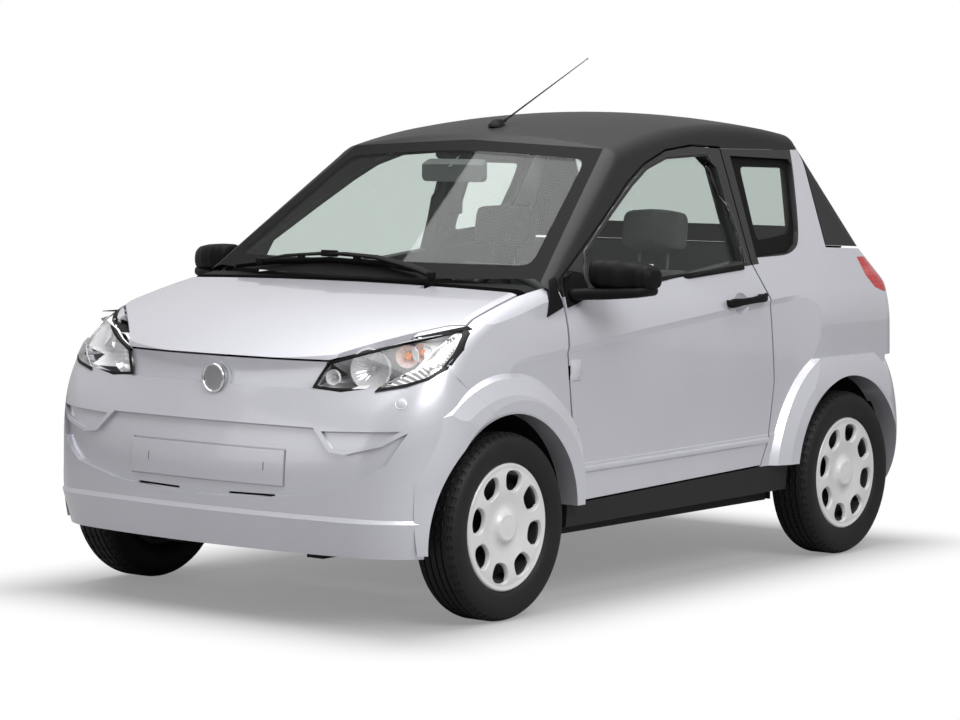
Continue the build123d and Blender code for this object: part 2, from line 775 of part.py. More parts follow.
def rim_shape():
    inner = wheel_face - tyre_width
    lip = wheel_face - 21
    seat = bead_radius - seat_gap
    return turned([
        (inner + 22, seat), (lip, seat), (lip, 150), (lip - 40, 142), (lip - 46, 60), (lip - 46, hub_radius),
        (lip - 54, hub_radius), (lip - 54, 60), (lip - 50, 140), (inner + 22, 150),
    ])


def cover_shape():
    """A dished cover with a ring of oval holes and a domed middle."""
    face = wheel_face - 12
    cover = turned([
        (face - 5, 182), (face + 1, 179), (face + 2, 166), (face - 2, 160), (face - 1, 150), (face - 1, 108),
        (face - 4, 82), (face - 9, 62), (face - 6, 52), (face, 44), (face + 4, 22), (face + 5, 1),
        (face + 1, 1), (face - 3, 44), (face - 12, 55), (face - 12, 66), (face - 7, 84), (face - 5, 110),
        (face - 5, 152), (face - 9.4, 166), (face - 6.9, 178),
    ])
    plane = Plane((face - 40, 0, 0), x_dir=(0, 1, 0), z_dir=(1, 0, 0))
    oval = Solid.extrude(plane * Pos(0, 134) * Ellipse(18, 23).face(), Vector(80, 0, 0))
    for hole in range(cover_holes):
        cover -= Rot(hole * 360 / cover_holes, 0, 0) * oval
    return cover


def wheels():
    shapes = {"tyre": tyre_shape(), "rim": rim_shape(), "cover": cover_shape()}
    for end, y in (("front", front_axle), ("rear", rear_axle_y)):
        for name, shape in shapes.items():
            placed = Pos(0, y, hub_z) * shape
            parts[f"{name}_{end}_left"], parts[f"{name}_{end}_right"] = both(placed)


def hinge_arms():
    """Door posts with their hinge pins, and the arms that carry the bonnet's pins."""
    shape = block((-600, 600), (firewall_y, firewall_y + firewall), (pan_low, 880))
    for side in (1, -1):
        shape += block(span(side, 580, 632), (firewall_y, hinge_y + 12), (pan_low, 800))
        for z in hinge_heights:
            height = (z - hinge_tall / 2, z + hinge_tall / 2)
            shape += block(span(side, 620, hinge_x - 2), (hinge_y, hinge_y + hinge_radius), height)
            shape += Pos(side * hinge_x, hinge_y, z) * Cylinder(hinge_radius, hinge_tall)
        start = lid_lugs[1] + 3
        post = (lid_hinge_y - lid_pin, lid_hinge_y + lid_pin)
        shape += block(span(side, start, start + 14), (post[0], firewall_y + 2), (838, 854))
        shape += block(span(side, start, start + 14), post, (838, lid_hinge_z))
        shape += across(lid_pin, span(side, lid_lugs[0] + 4, start + 14), lid_hinge_y, lid_hinge_z)
    return shape


def wheel_tubs(y, limit):
    """The round liners over one axle's wheels, inside the outer skin."""
    shapes = []
    zone = block((-700, 700), (y - 400, y + 400), (pan_low, 900)) & limit
    zone &= standing(side_section(wall + seat_gap), -1400, 1400)
    for side in (1, -1):
        tub = across(liner_radius + liner_wall, span(side, liner_inner, 660), y, hub_z)
        shapes.append(tub & zone)
    return shapes


def wheel_spaces(y):
    """The room that one axle's wheels need inside their liners."""
    return [
        across(liner_radius, span(side, liner_inner + liner_wall, 900), y, hub_z)
        for side in (1, -1)
    ]


def structure():
    """The floor with its bulkhead and front tubs, and the rear deck with the rear tubs."""
    pan = block((-sill_in, sill_in), (firewall_y, tub_rear_y - firewall - seat_gap), (pan_low, pan_high))
    pan += hinge_arms()
    lip = front_form(lip_plans, -seat_gap, ruled=True)
    lip -= front_form(lip_plans, skin + seat_gap, ruled=True)
    for tub in wheel_tubs(front_axle, front_form(bumper_plans, skin + seat_gap)):
        pan += tub - lip
    for space in wheel_spaces(front_axle):
        pan -= space
    for side in (1, -1):
        pan += Pos(side * kingpin_x, front_axle, 503.3) * Cylinder(kingpin_radius, 206)
    parts["floor_pan"] = pan
    deck = block((-600, 600), (tub_rear_y - firewall, tub_rear_y), (pan_low, deck_z + firewall))
    deck += block((-430, 430), (tub_rear_y - firewall, 1250), (deck_z, deck_z + firewall))
    for tub in wheel_tubs(rear_axle_y, rear_bumper_form(skin + seat_gap)):
        deck += tub
    for space in wheel_spaces(rear_axle_y):
        deck -= space
    room = beam_radius + seat_gap
    deck -= across(room, (-600, 600), rear_axle_y, hub_z)
    parts["rear_deck"] = deck - block((-600, 600), (rear_axle_y - room, rear_axle_y + room), (100, hub_z))
    sill = side_wall(0, wall) & side_prism(sill_outline)
    for y in (front_axle, rear_axle_y):
        sill -= arch_hole(y)
    parts["sills"] = Compound(both(sill))


def running_gear():
    top = pan_low - seat_gap
    rail = block((-300, 300), (front_axle - 40, front_axle + 40), (170, top))
    for side in (1, -1):
        rail += block(span(side, 240, 300), (front_axle - 300, firewall_y + 60), (170, top))
        kingpin = (front_axle - kingpin_radius, front_axle + kingpin_radius)
        arm = block(span(side, 290, kingpin_x), kingpin, (178, 200))
        arm += Pos(side * kingpin_x, front_axle, 189) * Cylinder(28, 22)
        rail += arm - Pos(side * kingpin_x, front_axle, 189) * Cylinder(kingpin_radius + pin_gap, 60)
    parts["front_subframe"] = rail
    stub = wheel_face - 64
    upright = Pos(kingpin_x, front_axle, 290) * Cylinder(kingpin_radius, 220)
    knuckle = upright + across(spindle, (kingpin_x, stub), front_axle, hub_z)
    parts["knuckle_left"], parts["knuckle_right"] = both(knuckle)
    beam = across(beam_radius, (-575, 575), rear_axle_y, hub_z)
    for side in (1, -1):
        beam += across(spindle, span(side, 570, stub), rear_axle_y, hub_z)
        link = (tub_rear_y + seat_gap, rear_axle_y)
        beam += block(span(side, 380, 424), link, (hub_z - 25, hub_z + 15))
    parts["rear_axle"] = beam
    x, y = engine_half
    parts["engine_block"] = block((-x, x), (front_axle - y, front_axle + y), engine_heights)


def seat(x):
    """A bucket seat: a cushion on its base, a leaning back and a headrest on it."""
    cushion = [(-160, 330), (-150, 445), (-90, 470), (250, 440), (330, 430), (330, 330)]
    back = [(250, 420), (330, 400), (400, 520), (455, 900), (445, 960), (405, 975), (360, 930), (300, 620)]
    head = [(395, 985), (470, 990), (480, 1110), (465, 1130), (425, 1125), (400, 1080)]
    shape = lying(rounded_polygon(cushion, 14), x - 230, x + 230)
    shape += lying(rounded_polygon(back, 14), x - 215, x + 215)
    shape += lying(rounded_polygon(head, 12), x - 125, x + 125)
    for side in (-60, 60):
        shape += Pos(x + side, 428, 975) * Cylinder(6, 60)
    return shape + block((x - 190, x + 190), (-100, 320), (pan_high + seat_gap, 340))


def cabin_fittings():
    front = firewall_y + firewall + seat_gap
    profile = [
        (front, 560), (front, 862), (-500, 888), (-400, 868),
        (-352, 800), (-372, 740), (-440, 600), (-470, 560),
    ]
    board = lying(rounded_polygon(profile, 12), -560, 560)
    hood = [(-500, 860), (-470, 905), (-380, 912), (-350, 880), (-360, 820), (-480, 820)]
    board += lying(rounded_polygon(hood, 12), 170, 410)
    wheel_plane = Plane((290, -270, 800), z_dir=(0, 1, 0.55))
    ring = wheel_plane * Torus(170, 13)
    hub = wheel_plane * Cylinder(45, 30)
    spokes = wheel_plane * (Box(330, 30, 14) + Pos(0, -80, 0) * Box(30, 160, 14))
    column = wheel_plane * Pos(0, 0, -90) * Cylinder(22, 180)
    parts["dashboard"] = board - wheel_plane * Pos(0, 0, -110) * Cylinder(22 + pin_gap, 180)
    parts["steering_wheel"] = ring + hub + spokes + column
    for name, x in (("left", 300), ("right", -300)):
        parts[f"seat_{name}"] = seat(x)
    face = [(-118, 1215), (118, 1215), (118, 1285), (-118, 1285)]
    mirror_body = standing(rounded_polygon(face, 18), -238, -212)
    stem = Pos(0, -205, 1300) * Rot(-50, 0, 0) * Cylinder(7, 120)
    parts["cabin_mirror"] = (mirror_body + stem) & tub_form(glass + seat_gap, roof_skin + seat_gap)


def rod(points, radius):
    """A round bar bent through three points."""
    path = ThreePointArc(*points)
    return sweep(Plane(path @ 0, z_dir=path % 0) * Circle(radius), path)


def trim():
    spindle_bar = Pos(*wiper_foot, 920) * Cylinder(8, 72)
    boss = Pos(*wiper_foot, 954) * Cylinder(13, 18)
    arm = rod([(*wiper_foot, 958), (100, -705, 998), (-110, -682, 1004)], 6)
    blade = rod([(-490, -690, 962), (-130, -684, 996), (235, -712, 974)], 5)
    parts["wiper"] = spindle_bar + boss + arm + blade
    base = Pos(0, -11, 1405) * Cylinder(16, 26) - roof_cap(-seat_gap)
    mast = Pos(0, 232, 1500) * Rot(-66, 0, 0) * Cylinder(3, 530)
    parts["aerial"] = base + (mast - roof_cap(-seat_gap))


def write_parts():
    os.makedirs("parts", exist_ok=True)
    for name, shape in parts.items():
        export_step(shape, f"parts/{name}.step")


front_panels()
doors()
tub_panels()
wheels()
structure()
running_gear()
cabin_fittings()
trim()
if __name__ == "__main__":
    write_parts()
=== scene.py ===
import json
from math import atan2, cos, hypot, radians, sin, tau

import bmesh
import bpy
from mathutils import Matrix, Vector
from mathutils.bvhtree import BVHTree

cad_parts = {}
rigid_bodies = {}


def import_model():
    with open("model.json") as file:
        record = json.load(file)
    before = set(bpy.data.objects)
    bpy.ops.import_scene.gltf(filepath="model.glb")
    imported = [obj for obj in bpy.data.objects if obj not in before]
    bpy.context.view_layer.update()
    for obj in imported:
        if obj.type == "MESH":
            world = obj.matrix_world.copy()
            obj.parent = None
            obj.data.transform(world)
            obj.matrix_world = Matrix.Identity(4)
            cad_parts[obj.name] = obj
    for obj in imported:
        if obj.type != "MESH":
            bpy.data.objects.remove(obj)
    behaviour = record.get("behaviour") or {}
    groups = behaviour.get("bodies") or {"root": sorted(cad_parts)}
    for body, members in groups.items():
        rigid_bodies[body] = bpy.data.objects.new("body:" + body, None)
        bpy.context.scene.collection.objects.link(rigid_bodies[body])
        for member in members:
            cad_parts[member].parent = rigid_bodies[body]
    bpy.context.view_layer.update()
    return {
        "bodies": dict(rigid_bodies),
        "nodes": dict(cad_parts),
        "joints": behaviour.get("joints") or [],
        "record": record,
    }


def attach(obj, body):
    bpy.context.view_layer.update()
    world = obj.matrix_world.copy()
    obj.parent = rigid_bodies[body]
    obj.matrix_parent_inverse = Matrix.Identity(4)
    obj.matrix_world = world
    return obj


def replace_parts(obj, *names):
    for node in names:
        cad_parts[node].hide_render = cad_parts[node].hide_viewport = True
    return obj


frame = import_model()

ops = bmesh.ops
nodes = frame["nodes"]
print("frame loaded:", len(nodes), "nodes")


def sign(kind, swapped=False):
    # what a sign between two shader values does
    if swapped:
        return lambda self, other: self.sum(kind, other, self)
    return lambda self, other=0.0: self.sum(kind, self, other)


class Tone:
    # one shader value that can stand in a sum
    def __init__(self, maker, socket):
        self.maker, self.socket = maker, socket

    def sum(self, kind, first, second=0.0, third=0.0):
        return self.maker.add("Math", {0: first, 1: second, 2: third}, operation=kind)

    __add__, __radd__ = sign("ADD"), sign("ADD", True)
    __sub__, __rsub__ = sign("SUBTRACT"), sign("SUBTRACT", True)
    __mul__, __rmul__ = sign("MULTIPLY"), sign("MULTIPLY", True)
    __pow__, __abs__ = sign("POWER"), sign("ABSOLUTE")
    greater, sine = sign("MAXIMUM"), sign("SINE")


class Finish:
    # a procedural material, built round one Principled shader
    def __init__(self, name, **base):
        self.material = bpy.data.materials.new(name)
        self.material.use_nodes = True
        self.tree = self.material.node_tree
        self.shader = self.tree.nodes["Principled BSDF"]
        self.place = self.add("TexCoord", {}, "Object")
        self.feed(**base)

    def add(self, kind, sockets, out=0, **settings):
        node = self.tree.nodes.new("ShaderNode" + kind)
        for key, value in settings.items():
            setattr(node, key, value)
        for key, value in sockets.items():
            self.join(value, node.inputs[key])
        return Tone(self, node.outputs[out])

    def join(self, value, socket):
        if isinstance(value, Tone):
            self.tree.links.new(value.socket, socket)
        elif isinstance(value, tuple) and len(value) == 3 and socket.type == "RGBA":
            socket.default_value = (*value, 1)
        else:
            socket.default_value = value

    def feed(self, **values):
        for socket, value in values.items():
            self.join(value, self.shader.inputs[socket.replace("_", " ")])

    def axes(self):
        split = self.add("SeparateXYZ", {0: self.place}).socket.node
        return [Tone(self, socket) for socket in split.outputs]

    def noise(self, scale, detail=2.0):
        return self.add("TexNoise", {
            "Vector": self.place, "Scale": scale, "Detail": detail, "Roughness": 0.55})

    def ramp(self, value, low, first, high, second):
        # the first colour up to the low value, the second from the high one
        made = self.add("ValToRGB", {"Fac": value})
        for stop, at, colour in zip(made.socket.node.color_ramp.elements, (low, high), (first, second)):
            stop.position, stop.color = at, (*colour, 1)
        return made

    def mixed(self, mask, first, second):
        return self.add("Mix", {0: mask, 6: first, 7: second}, 2, data_type="RGBA")

    def bump(self, height, strength, depth):
        return self.add("Bump", {"Height": height, "Strength": strength, "Distance": depth})

    def blend(self, mask, first, second=None):
        # the first shader where the mask is 0, and the second or the Principled one where it is 1
        second = second or Tone(self, self.shader.outputs[0])
        return self.add("MixShader", {0: mask, 1: first, 2: second})

    def clear(self, tint, rough, least, mirror):
        # see-through, with a reflection that grows towards a glancing view
        see = self.add("BsdfTransparent", {0: tint})
        shine = self.add("BsdfGlossy", {"Roughness": rough})
        facing = self.add("LayerWeight", {"Blend": 0.5}, "Facing")
        return self.blend(least + facing ** 5.0 * mirror, see, shine)

    def show(self, shader):
        self.join(shader, self.tree.nodes["Material Output"].inputs[0])
        return self.material


def smoothStep(value, low, high):
    # 0 at low and 1 at high
    return value.maker.add(
        "MapRange", {"Value": value, "From Min": low, "From Max": high}, interpolation_type="SMOOTHSTEP")


def insideOf(first, second, points, corner):
    # how far a place is inside a convex outline, with rounded corners
    middle = [sum(point[axis] for point in points) / len(points) for axis in (0, 1)]
    depth = None
    for (u0, v0), (u1, v1) in zip(points, points[1:] + points[:1]):
        length = hypot(u1 - u0, v1 - v0)
        a, b = (v0 - v1) / length, (u1 - u0) / length
        if a * (middle[0] - u0) + b * (middle[1] - v0) < 0:
            a, b = -a, -b
        edge = first * a + second * b - (a * u0 + b * v0)
        depth = edge if depth is None else depth.sum("SMOOTH_MIN", depth, edge, corner)
    return depth


paint = {"colour": (0.53, 0.53, 0.575), "flake": 900.0, "metal": 0.5, "rough": 0.3}
charcoal = {"colour": (0.0085, 0.0085, 0.009), "grain": 900.0, "rough": 0.4}
belt = {
    "start": (-0.573, 0.897), "rise": 0.0581, "pillar": 0.505,
    "lining": 0.68, "bend": 0.79, "lean": 0.38, "end": (0.9, 0.92),
}


def scaled(colour, times, more=0.0):
    return tuple(min(1.0, part * times + more) for part in colour)


def paintTone(made):
    flakes = made.noise(paint["flake"], 1.0)
    shade = smoothStep(flakes, 0.3, 0.7) * 0.5 + made.noise(3.0) * 0.5
    return flakes, made.ramp(shade, 0.2, scaled(paint["colour"], 0.94), 0.8, scaled(paint["colour"], 1.07))


def bodyPaint():
    made = Finish("bodyPaint", Metallic=paint["metal"], Coat_Weight=1.0, Coat_Roughness=0.03)
    flakes, tone = paintTone(made)
    made.feed(Base_Color=tone, Roughness=paint["rough"] + flakes * 0.08,
              Normal=made.bump(made.noise(paint["flake"] * 1.5, 1.0), 0.03, 0.0003))
    return made.material


def doorPaint(name, beltOnly):
    # silver below the belt, charcoal round the windows, dark lining on the cabin side
    made = Finish(name, Coat_Roughness=0.04)
    flakes, tone = paintTone(made)
    x, y, z = made.axes()
    start, height = belt["start"]
    above = smoothStep(z - (y - start) * belt["rise"], height, height + 0.001)
    if not beltOnly:
        front = 1 - smoothStep(y, belt["pillar"], belt["pillar"] + 0.001)
        border = insideOf(y, z, quarterPane["seen"], 0.03)
        above = (above * front).greater(smoothStep(border, -0.001, 0.0))
    lean = (z - belt["bend"]).greater() * belt["lean"]
    lined = 1 - smoothStep(abs(x) + lean, belt["lining"] - 0.002, belt["lining"])
    dark = above.greater(lined * (1 - smoothStep(y, *belt["end"])))
    speck = made.noise(charcoal["grain"])
    black = made.ramp(speck, 0.3, charcoal["colour"], 0.75, scaled(charcoal["colour"], 1.3))
    rough = (1 - dark) * (paint["rough"] + flakes * 0.08) + dark * (charcoal["rough"] + speck * 0.1)
    made.feed(Base_Color=made.mixed(dark, tone, black), Metallic=(1 - dark) * paint["metal"], Roughness=rough,
              Coat_Weight=1 - dark * 0.85)
    return made.material


def plastic(name, colour, rough, grain, depth, coat=0.0, shine=0.3, worn=0.0):
    made = Finish(name, Coat_Weight=coat, Coat_Roughness=0.1, Specular_IOR_Level=shine)
    speck = made.noise(grain)
    wide = made.noise(6.0, 3.0)
    tone = made.ramp(speck * 0.6 + wide * 0.4, 0.3, colour, 0.75, scaled(colour, 1.3, worn))
    made.feed(Base_Color=tone, Roughness=rough + speck * 0.08 + wide * 0.06, Normal=made.bump(speck, 0.2, depth))
    return made.material


def rubber(name, colour):
    # matt and finely pitted, with paler dusty patches
    made = Finish(name, Specular_IOR_Level=0.25)
    speck = made.noise(420.0, 3.0)
    wide = made.noise(14.0, 3.0)
    tone = made.ramp(speck * 0.4 + wide * 0.6, 0.3, colour, 0.75, scaled(colour, 1.7))
    made.feed(Base_Color=tone, Roughness=0.5 + wide * 0.2, Normal=made.bump(speck, 0.35, 0.0004))
    return made.material


def paneGlass(name, tint, border=None, corner=0.03, axis=1, mirror=0.9, printed=0.006):
    # clear glass that mirrors at a glance, with an optional dark printed border
    made = Finish(name, Base_Color=(printed,) * 3, Roughness=0.5, Specular_IOR_Level=0.05)
    clear = made.clear(tint, 0.015, 0.035, mirror)
    if not border:
        return made.show(clear)
    places = made.axes()
    depth = insideOf(places[axis], places[2], border, corner) - made.noise(1500.0, 0.0) * 0.004
    return made.show(made.blend(1 - smoothStep(depth, 0.0, 0.002), clear))


def lampRim(made):
    # 1 on the dark rim inside the lamp's outline
    x, y, z = made.axes()
    depth = insideOf(abs(x), z, lampEdge["outline"], 0.006)
    return y, z, 1 - smoothStep(depth, lampEdge["rim"], lampEdge["rim"] + 0.0012)


def lampGlass(name):
    made = Finish(name, Base_Color=lampEdge["dark"], Roughness=0.25, Specular_IOR_Level=0.15)
    clear = made.clear((0.97, 0.97, 0.975), 0.01, 0.03, 0.9)
    return made.show(made.blend(lampRim(made)[2], clear))


def lampOuter(name):
    # the silvered end of the lamp: fluted behind a clear coat, with a black rim; its silver is painted in dark and
    # bright blotches as painted reflections
    made = Finish(name, Coat_Roughness=0.02, Specular_IOR_Level=0.2)
    y, z, rim = lampRim(made)
    flutes = ((y + z * 0.4) * 500.0).sine()
    # painted reflections: the silver tone runs in blotches from dark to bright, standing in for a mirrored
    # reflector behind glass
    silverAndReflections = made.ramp(made.noise(16.0), 0.3, (0.18, 0.185, 0.19), 0.7, (0.52, 0.52, 0.53))
    made.feed(Base_Color=made.mixed(rim, silverAndReflections, lampEdge["dark"]), Metallic=(1 - rim) * 0.7,
              Coat_Weight=1 - rim, Roughness=0.16 + rim * 0.2,
              Normal=made.bump(flutes * (1 - rim), 0.35, 0.0008))
    return made.material


def chrome(name, colour, rough, metal=1.0):
    made = Finish(name, Metallic=metal)
    wide = made.noise(9.0)
    made.feed(Base_Color=made.ramp(wide, 0.35, scaled(colour, 0.82), 0.65, colour), Roughness=rough + wide * 0.06,
              Normal=made.bump(made.noise(240.0), 0.1, 0.0003))
    return made.material


def tailGlass(name):
    # ribbed red lens with a paler chamber for the turning lamp
    made = Finish(name, Roughness=0.12, Coat_Weight=1.0, Coat_Roughness=0.02)
    x, y, z = made.axes()
    ribs = (z * 420.0).sine()
    chamber = smoothStep(z, 0.905, 0.909) * (1 - smoothStep(z, 0.931, 0.935))
    red = made.ramp(made.noise(60.0), 0.3, (0.28, 0.004, 0.006), 0.7, (0.4, 0.007, 0.01))
    made.feed(Base_Color=made.mixed(chamber * 0.1, red, (0.78, 0.42, 0.36)), Normal=made.bump(ribs, 0.35, 0.0012))
    return made.material


def cloth(name, colour):
    # woven seat cloth: two crossed thread waves over soft blotches
    made = Finish(name, Roughness=0.85, Sheen_Weight=0.35, Sheen_Roughness=0.5)
    x, y, z = made.axes()
    weave = ((x + z) * 2200.0).sine() * ((y + z) * 2200.0).sine()
    shade = made.noise(40.0, 3.0) * 0.5 + (weave + 1.0) * 0.25
    made.feed(Base_Color=made.ramp(shade, 0.3, colour, 0.75, scaled(colour, 1.5)),
              Normal=made.bump(weave, 0.3, 0.0006))
    return made.material


screen = {"seen": [(-0.572, 0.982), (0.572, 0.982), (0.462, 1.292), (0.0, 1.322), (-0.462, 1.292)]}
quarterPane = {
    "seen": [
        (0.4, 0.978), (0.7, 0.984), (0.765, 1.012), (0.792, 1.056), (0.868, 1.3), (0.872, 1.36), (0.4, 1.36)],
    "light": [(0.545, 1.028), (0.745, 1.046), (0.795, 1.115), (0.822, 1.262), (0.558, 1.268)],
}
hatchPane = {"light": [(-0.47, 1.035), (0.47, 1.035), (0.41, 1.345), (-0.41, 1.345)]}
lampEdge = {
    "outline": [
        (0.342, 0.661), (0.379, 0.733), (0.668, 0.826), (0.68, 0.815), (0.6935, 0.772), (0.6945, 0.722),
        (0.6735, 0.6957), (0.6274, 0.6765), (0.5408, 0.6597), (0.436, 0.654)],
    "rim": 0.0075, "dark": (0.004, 0.004, 0.0042),
}
clearTint = (0.873, 0.902, 0.886)
looks = {
    "body_paint": bodyPaint(),
    "door": doorPaint("doorPaint", True),
    "quarter": doorPaint("quarterPaint", False),
    "roof_trim": plastic(
        "roofTrim", charcoal["colour"], charcoal["rough"], charcoal["grain"], 0.0002, 0.04, 0.22),
    "black_plastic": plastic("blackPlastic", (0.0035, 0.0035, 0.0037), 0.46, 1400.0, 0.0003, 0.0, 0.1),
    "gloss_black": plastic("glossBlack", (0.005, 0.005, 0.0055), 0.14, 700.0, 0.0001, 0.4, 0.4),
    "tyre_rubber": rubber("tyreRubber", (0.005, 0.005, 0.0052)),
    "rim_steel": plastic("rimSteel", (0.012, 0.012, 0.013), 0.45, 400.0, 0.0002),
    "cover_silver": plastic("coverSilver", (0.44, 0.44, 0.445), 0.3, 900.0, 0.0002, 0.4, 0.5),
    "chassis_metal": plastic("chassisMetal", (0.008, 0.008, 0.009), 0.6, 300.0, 0.0005, 0.0, 0.2, 0.002),
    "engine_metal": plastic("engineMetal", (0.1, 0.1, 0.1), 0.5, 300.0, 0.0006),
    "cabin_plastic": plastic("cabinPlastic", (0.085, 0.088, 0.089), 0.55, 900.0, 0.0006, 0.0, 0.3),
    "seat_fabric": cloth("seatCloth", (0.06, 0.062, 0.064)),
    "seat_piping": plastic("seatPiping", (0.018, 0.018, 0.019), 0.6, 700.0, 0.0004),
    "window": paneGlass("windscreenGlass", clearTint, screen["seen"], 0.05, 0, 0.2),
    "door_window": paneGlass("doorGlass", clearTint),
    "quarter_window": paneGlass("quarterGlass", clearTint, quarterPane["light"], 0.035),
    "dark_window": paneGlass("hatchGlass", (0.8, 0.83, 0.815), hatchPane["light"], 0.05, 0, 0.9, 0.03),
    "lamp_clear": lampGlass("lampGlass"),
    "lamp_outer": lampOuter("lampOuter"),
    "lamp_silver": plastic("lampSilver", (0.76, 0.76, 0.765), 0.22, 200.0, 0.0004, 0.3, 0.6),
    "lamp_bowl": chrome("lampBowl", (0.98, 0.98, 0.98), 0.1, 0.45),
    "bright_metal": chrome("brightMetal", (0.86, 0.86, 0.88), 0.08),
    "amber": plastic("amberPlastic", (0.75, 0.2, 0.02), 0.15, 300.0, 0.0002, 0.8),
    "lamp_red": tailGlass("tailGlass"),
}
ownLook = {
    "sills": "roof_trim", "door_left": "door", "door_right": "door", "quarter_left": "quarter",
    "quarter_right": "quarter", "door_glass_left": "door_window", "door_glass_right": "door_window",
    "quarter_glasses": "quarter_window",
}
slotOf = {row["node"]: row["material_slot"] for row in frame["record"].get("subparts", [])}
for name, node in nodes.items():
    slotName = node.material_slots[0].material.name if node.material_slots else ""
    listed = next((key for key in looks if slotName.startswith(key)), "cabin_plastic")
    for place in node.material_slots:
        place.material = looks[ownLook.get(name) or slotOf.get(name) or listed]
print("finishes made and given to the panels")


def between(span, part):
    # the place that lies a part of the way along a span
    return span[0] + (span[1] - span[0]) * part


def placed(place, across, out):
    # a frame whose x runs across, whose y points out and whose z runs along
    across, out = across.normalized(), out.normalized()
    along = across.cross(out)
    return Matrix((
        (across.x, out.x, along.x, place[0]), (across.y, out.y, along.y, place[1]),
        (across.z, out.z, along.z, place[2]), (0, 0, 0, 1)))


def swept(section, frames):
    # carries a closed outline from frame to frame
    shape = bmesh.new()
    face = shape.faces.new([shape.verts.new(frames[0] @ Vector((*point, 0))) for point in section])
    for before, after in zip(frames, frames[1:]):
        grown = ops.extrude_face_region(shape, geom=[face])["geom"]
        face = only(bmesh.types.BMFace, grown)[0]
        ops.transform(shape, matrix=after @ before.inverted(), verts=face.verts[:])
    return shape


def spun(profile, place, axis, steps):
    # turns an outline of (along, radius) about an axis
    shape = bmesh.new()
    turn = Vector(axis).to_track_quat("X", "Z").to_matrix().to_4x4()
    move = Matrix.Translation(place) @ turn
    points = [shape.verts.new(move @ Vector((along, 0, radius))) for along, radius in profile]
    lines = [shape.edges.new(pair) for pair in zip(points, points[1:])]
    ops.spin(
        shape, geom=points + lines, cent=place, axis=axis, dvec=(0, 0, 0), angle=tau,
        steps=steps, use_merge=True)
    ops.remove_doubles(shape, verts=shape.verts, dist=0.00002)
    return shape


def blocked(size, place, soften, segments=3):
    # a block with rounded edges
    shape = bmesh.new()
    ops.create_cube(shape, size=1.0, matrix=Matrix.Translation(place) @ Matrix.Diagonal((*size, 1)))
    ops.bevel(
        shape, geom=shape.edges[:], offset=soften, affect="EDGES", segments=segments, profile=0.5, material=-1)
    return shape


def roundedOutline(wide, tall, corner, steps=4):
    points = []
    for turn, (x, y) in enumerate(((1, 1), (-1, 1), (-1, -1), (1, -1))):
        for step in range(steps + 1):
            angle = radians(90 * (turn + step / steps))
            points.append((
                x * (wide / 2 - corner) + corner * cos(angle),
                y * (tall / 2 - corner) + corner * sin(angle)))
    return points


def linked(name, data):
    made = bpy.data.objects.new(name, data)
    bpy.context.scene.collection.objects.link(made)
    return made


def meshOf(name, shape):
    mesh = bpy.data.meshes.new(name)
    shape.to_mesh(mesh)
    shape.free()
    return mesh


def bar(size, steps, frames):
    # a sweep of a rounded oblong
    return swept(roundedOutline(*size, steps), frames)


def only(kind, grown):
    # the verts, edges or faces among what an operator made
    return [part for part in grown if isinstance(part, kind)]


def joined(shapes):
    # several closed shapes in one
    whole = bmesh.new()
    for shape in shapes:
        mesh = meshOf("part", shape)
        whole.from_mesh(mesh)
        bpy.data.meshes.remove(mesh)
    return whole


def rounded(made, levels):
    rounding = made.modifiers.new("rounding", "SUBSURF")
    rounding.levels = rounding.render_levels = levels


def thickened(made, thickness, offset=0.0):
    wall = made.modifiers.new("wall", "SOLIDIFY")
    wall.thickness, wall.offset = thickness, offset


def piece(name, shape, slotName, body="chassis", look=None, crease=40.0, smooth=0):
    ops.recalc_face_normals(shape, faces=shape.faces)
    for face in shape.faces:
        face.smooth = True
    for edge in shape.edges:
        if len(edge.link_faces) == 2 and edge.calc_face_angle(0.0) > radians(crease):
            edge.smooth = False
    made = linked(name, meshOf(name, shape))
    made.data.materials.append(looks[look or slotName])
    if smooth:
        rounded(made, smooth)
    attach(made, body)
    return made


def pair(name, left, slotName, bodies=("chassis", "chassis"), node=None, **how):
    # the left piece and its mirror image, which may stand for a pair of nodes
    right = left.copy()
    ops.scale(right, vec=(-1, 1, 1), verts=right.verts)
    ops.recalc_face_normals(right, faces=right.faces)
    both = [
        piece(name + "Left", left, slotName, bodies[0], **how),
        piece(name + "Right", right, slotName, bodies[1], **how)]
    if node:
        for side, made in zip(("left", "right"), both):
            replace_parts(made, f"{node}_{side}")
    return both


def skinOf(*names):
    # the outer faces of some nodes, for rays to strike
    points, faces = [], []
    for name in names:
        mesh = nodes[name].data
        start = len(points)
        points += [vert.co.copy() for vert in mesh.vertices]
        faces += [[start + corner for corner in face.vertices] for face in mesh.polygons]
    return BVHTree.FromPolygons(points, faces)


def struck(skin, start, aim):
    # where a ray meets a skin, and the normal turned towards its start
    place, normal = skin.ray_cast(Vector(start), Vector(aim))[:2]
    return place, -normal if normal and normal.dot(Vector(aim)) > 0 else normal


def plateOn(points, cuts, lay, rise):
    # a thin plate: an outline divided finely, laid on a skin and raised off it
    shape = bmesh.new()
    face = shape.faces.new([shape.verts.new(point) for point in points])
    ops.triangulate(shape, faces=[face])
    ops.subdivide_edges(shape, edges=shape.edges[:], cuts=cuts, use_grid_fill=True)
    for vert in shape.verts:
        lay(vert.co)
    ops.recalc_face_normals(shape, faces=shape.faces)
    grown = ops.extrude_face_region(shape, geom=shape.faces[:])["geom"]
    ops.translate(shape, vec=rise, verts=only(bmesh.types.BMVert, grown))
    return shape


def runs(points):
    # each point of a path, with the way the path goes there
    last = len(points) - 1
    return [(point, points[min(at + 1, last)] - points[max(at - 1, 0)]) for at, point in enumerate(points)]


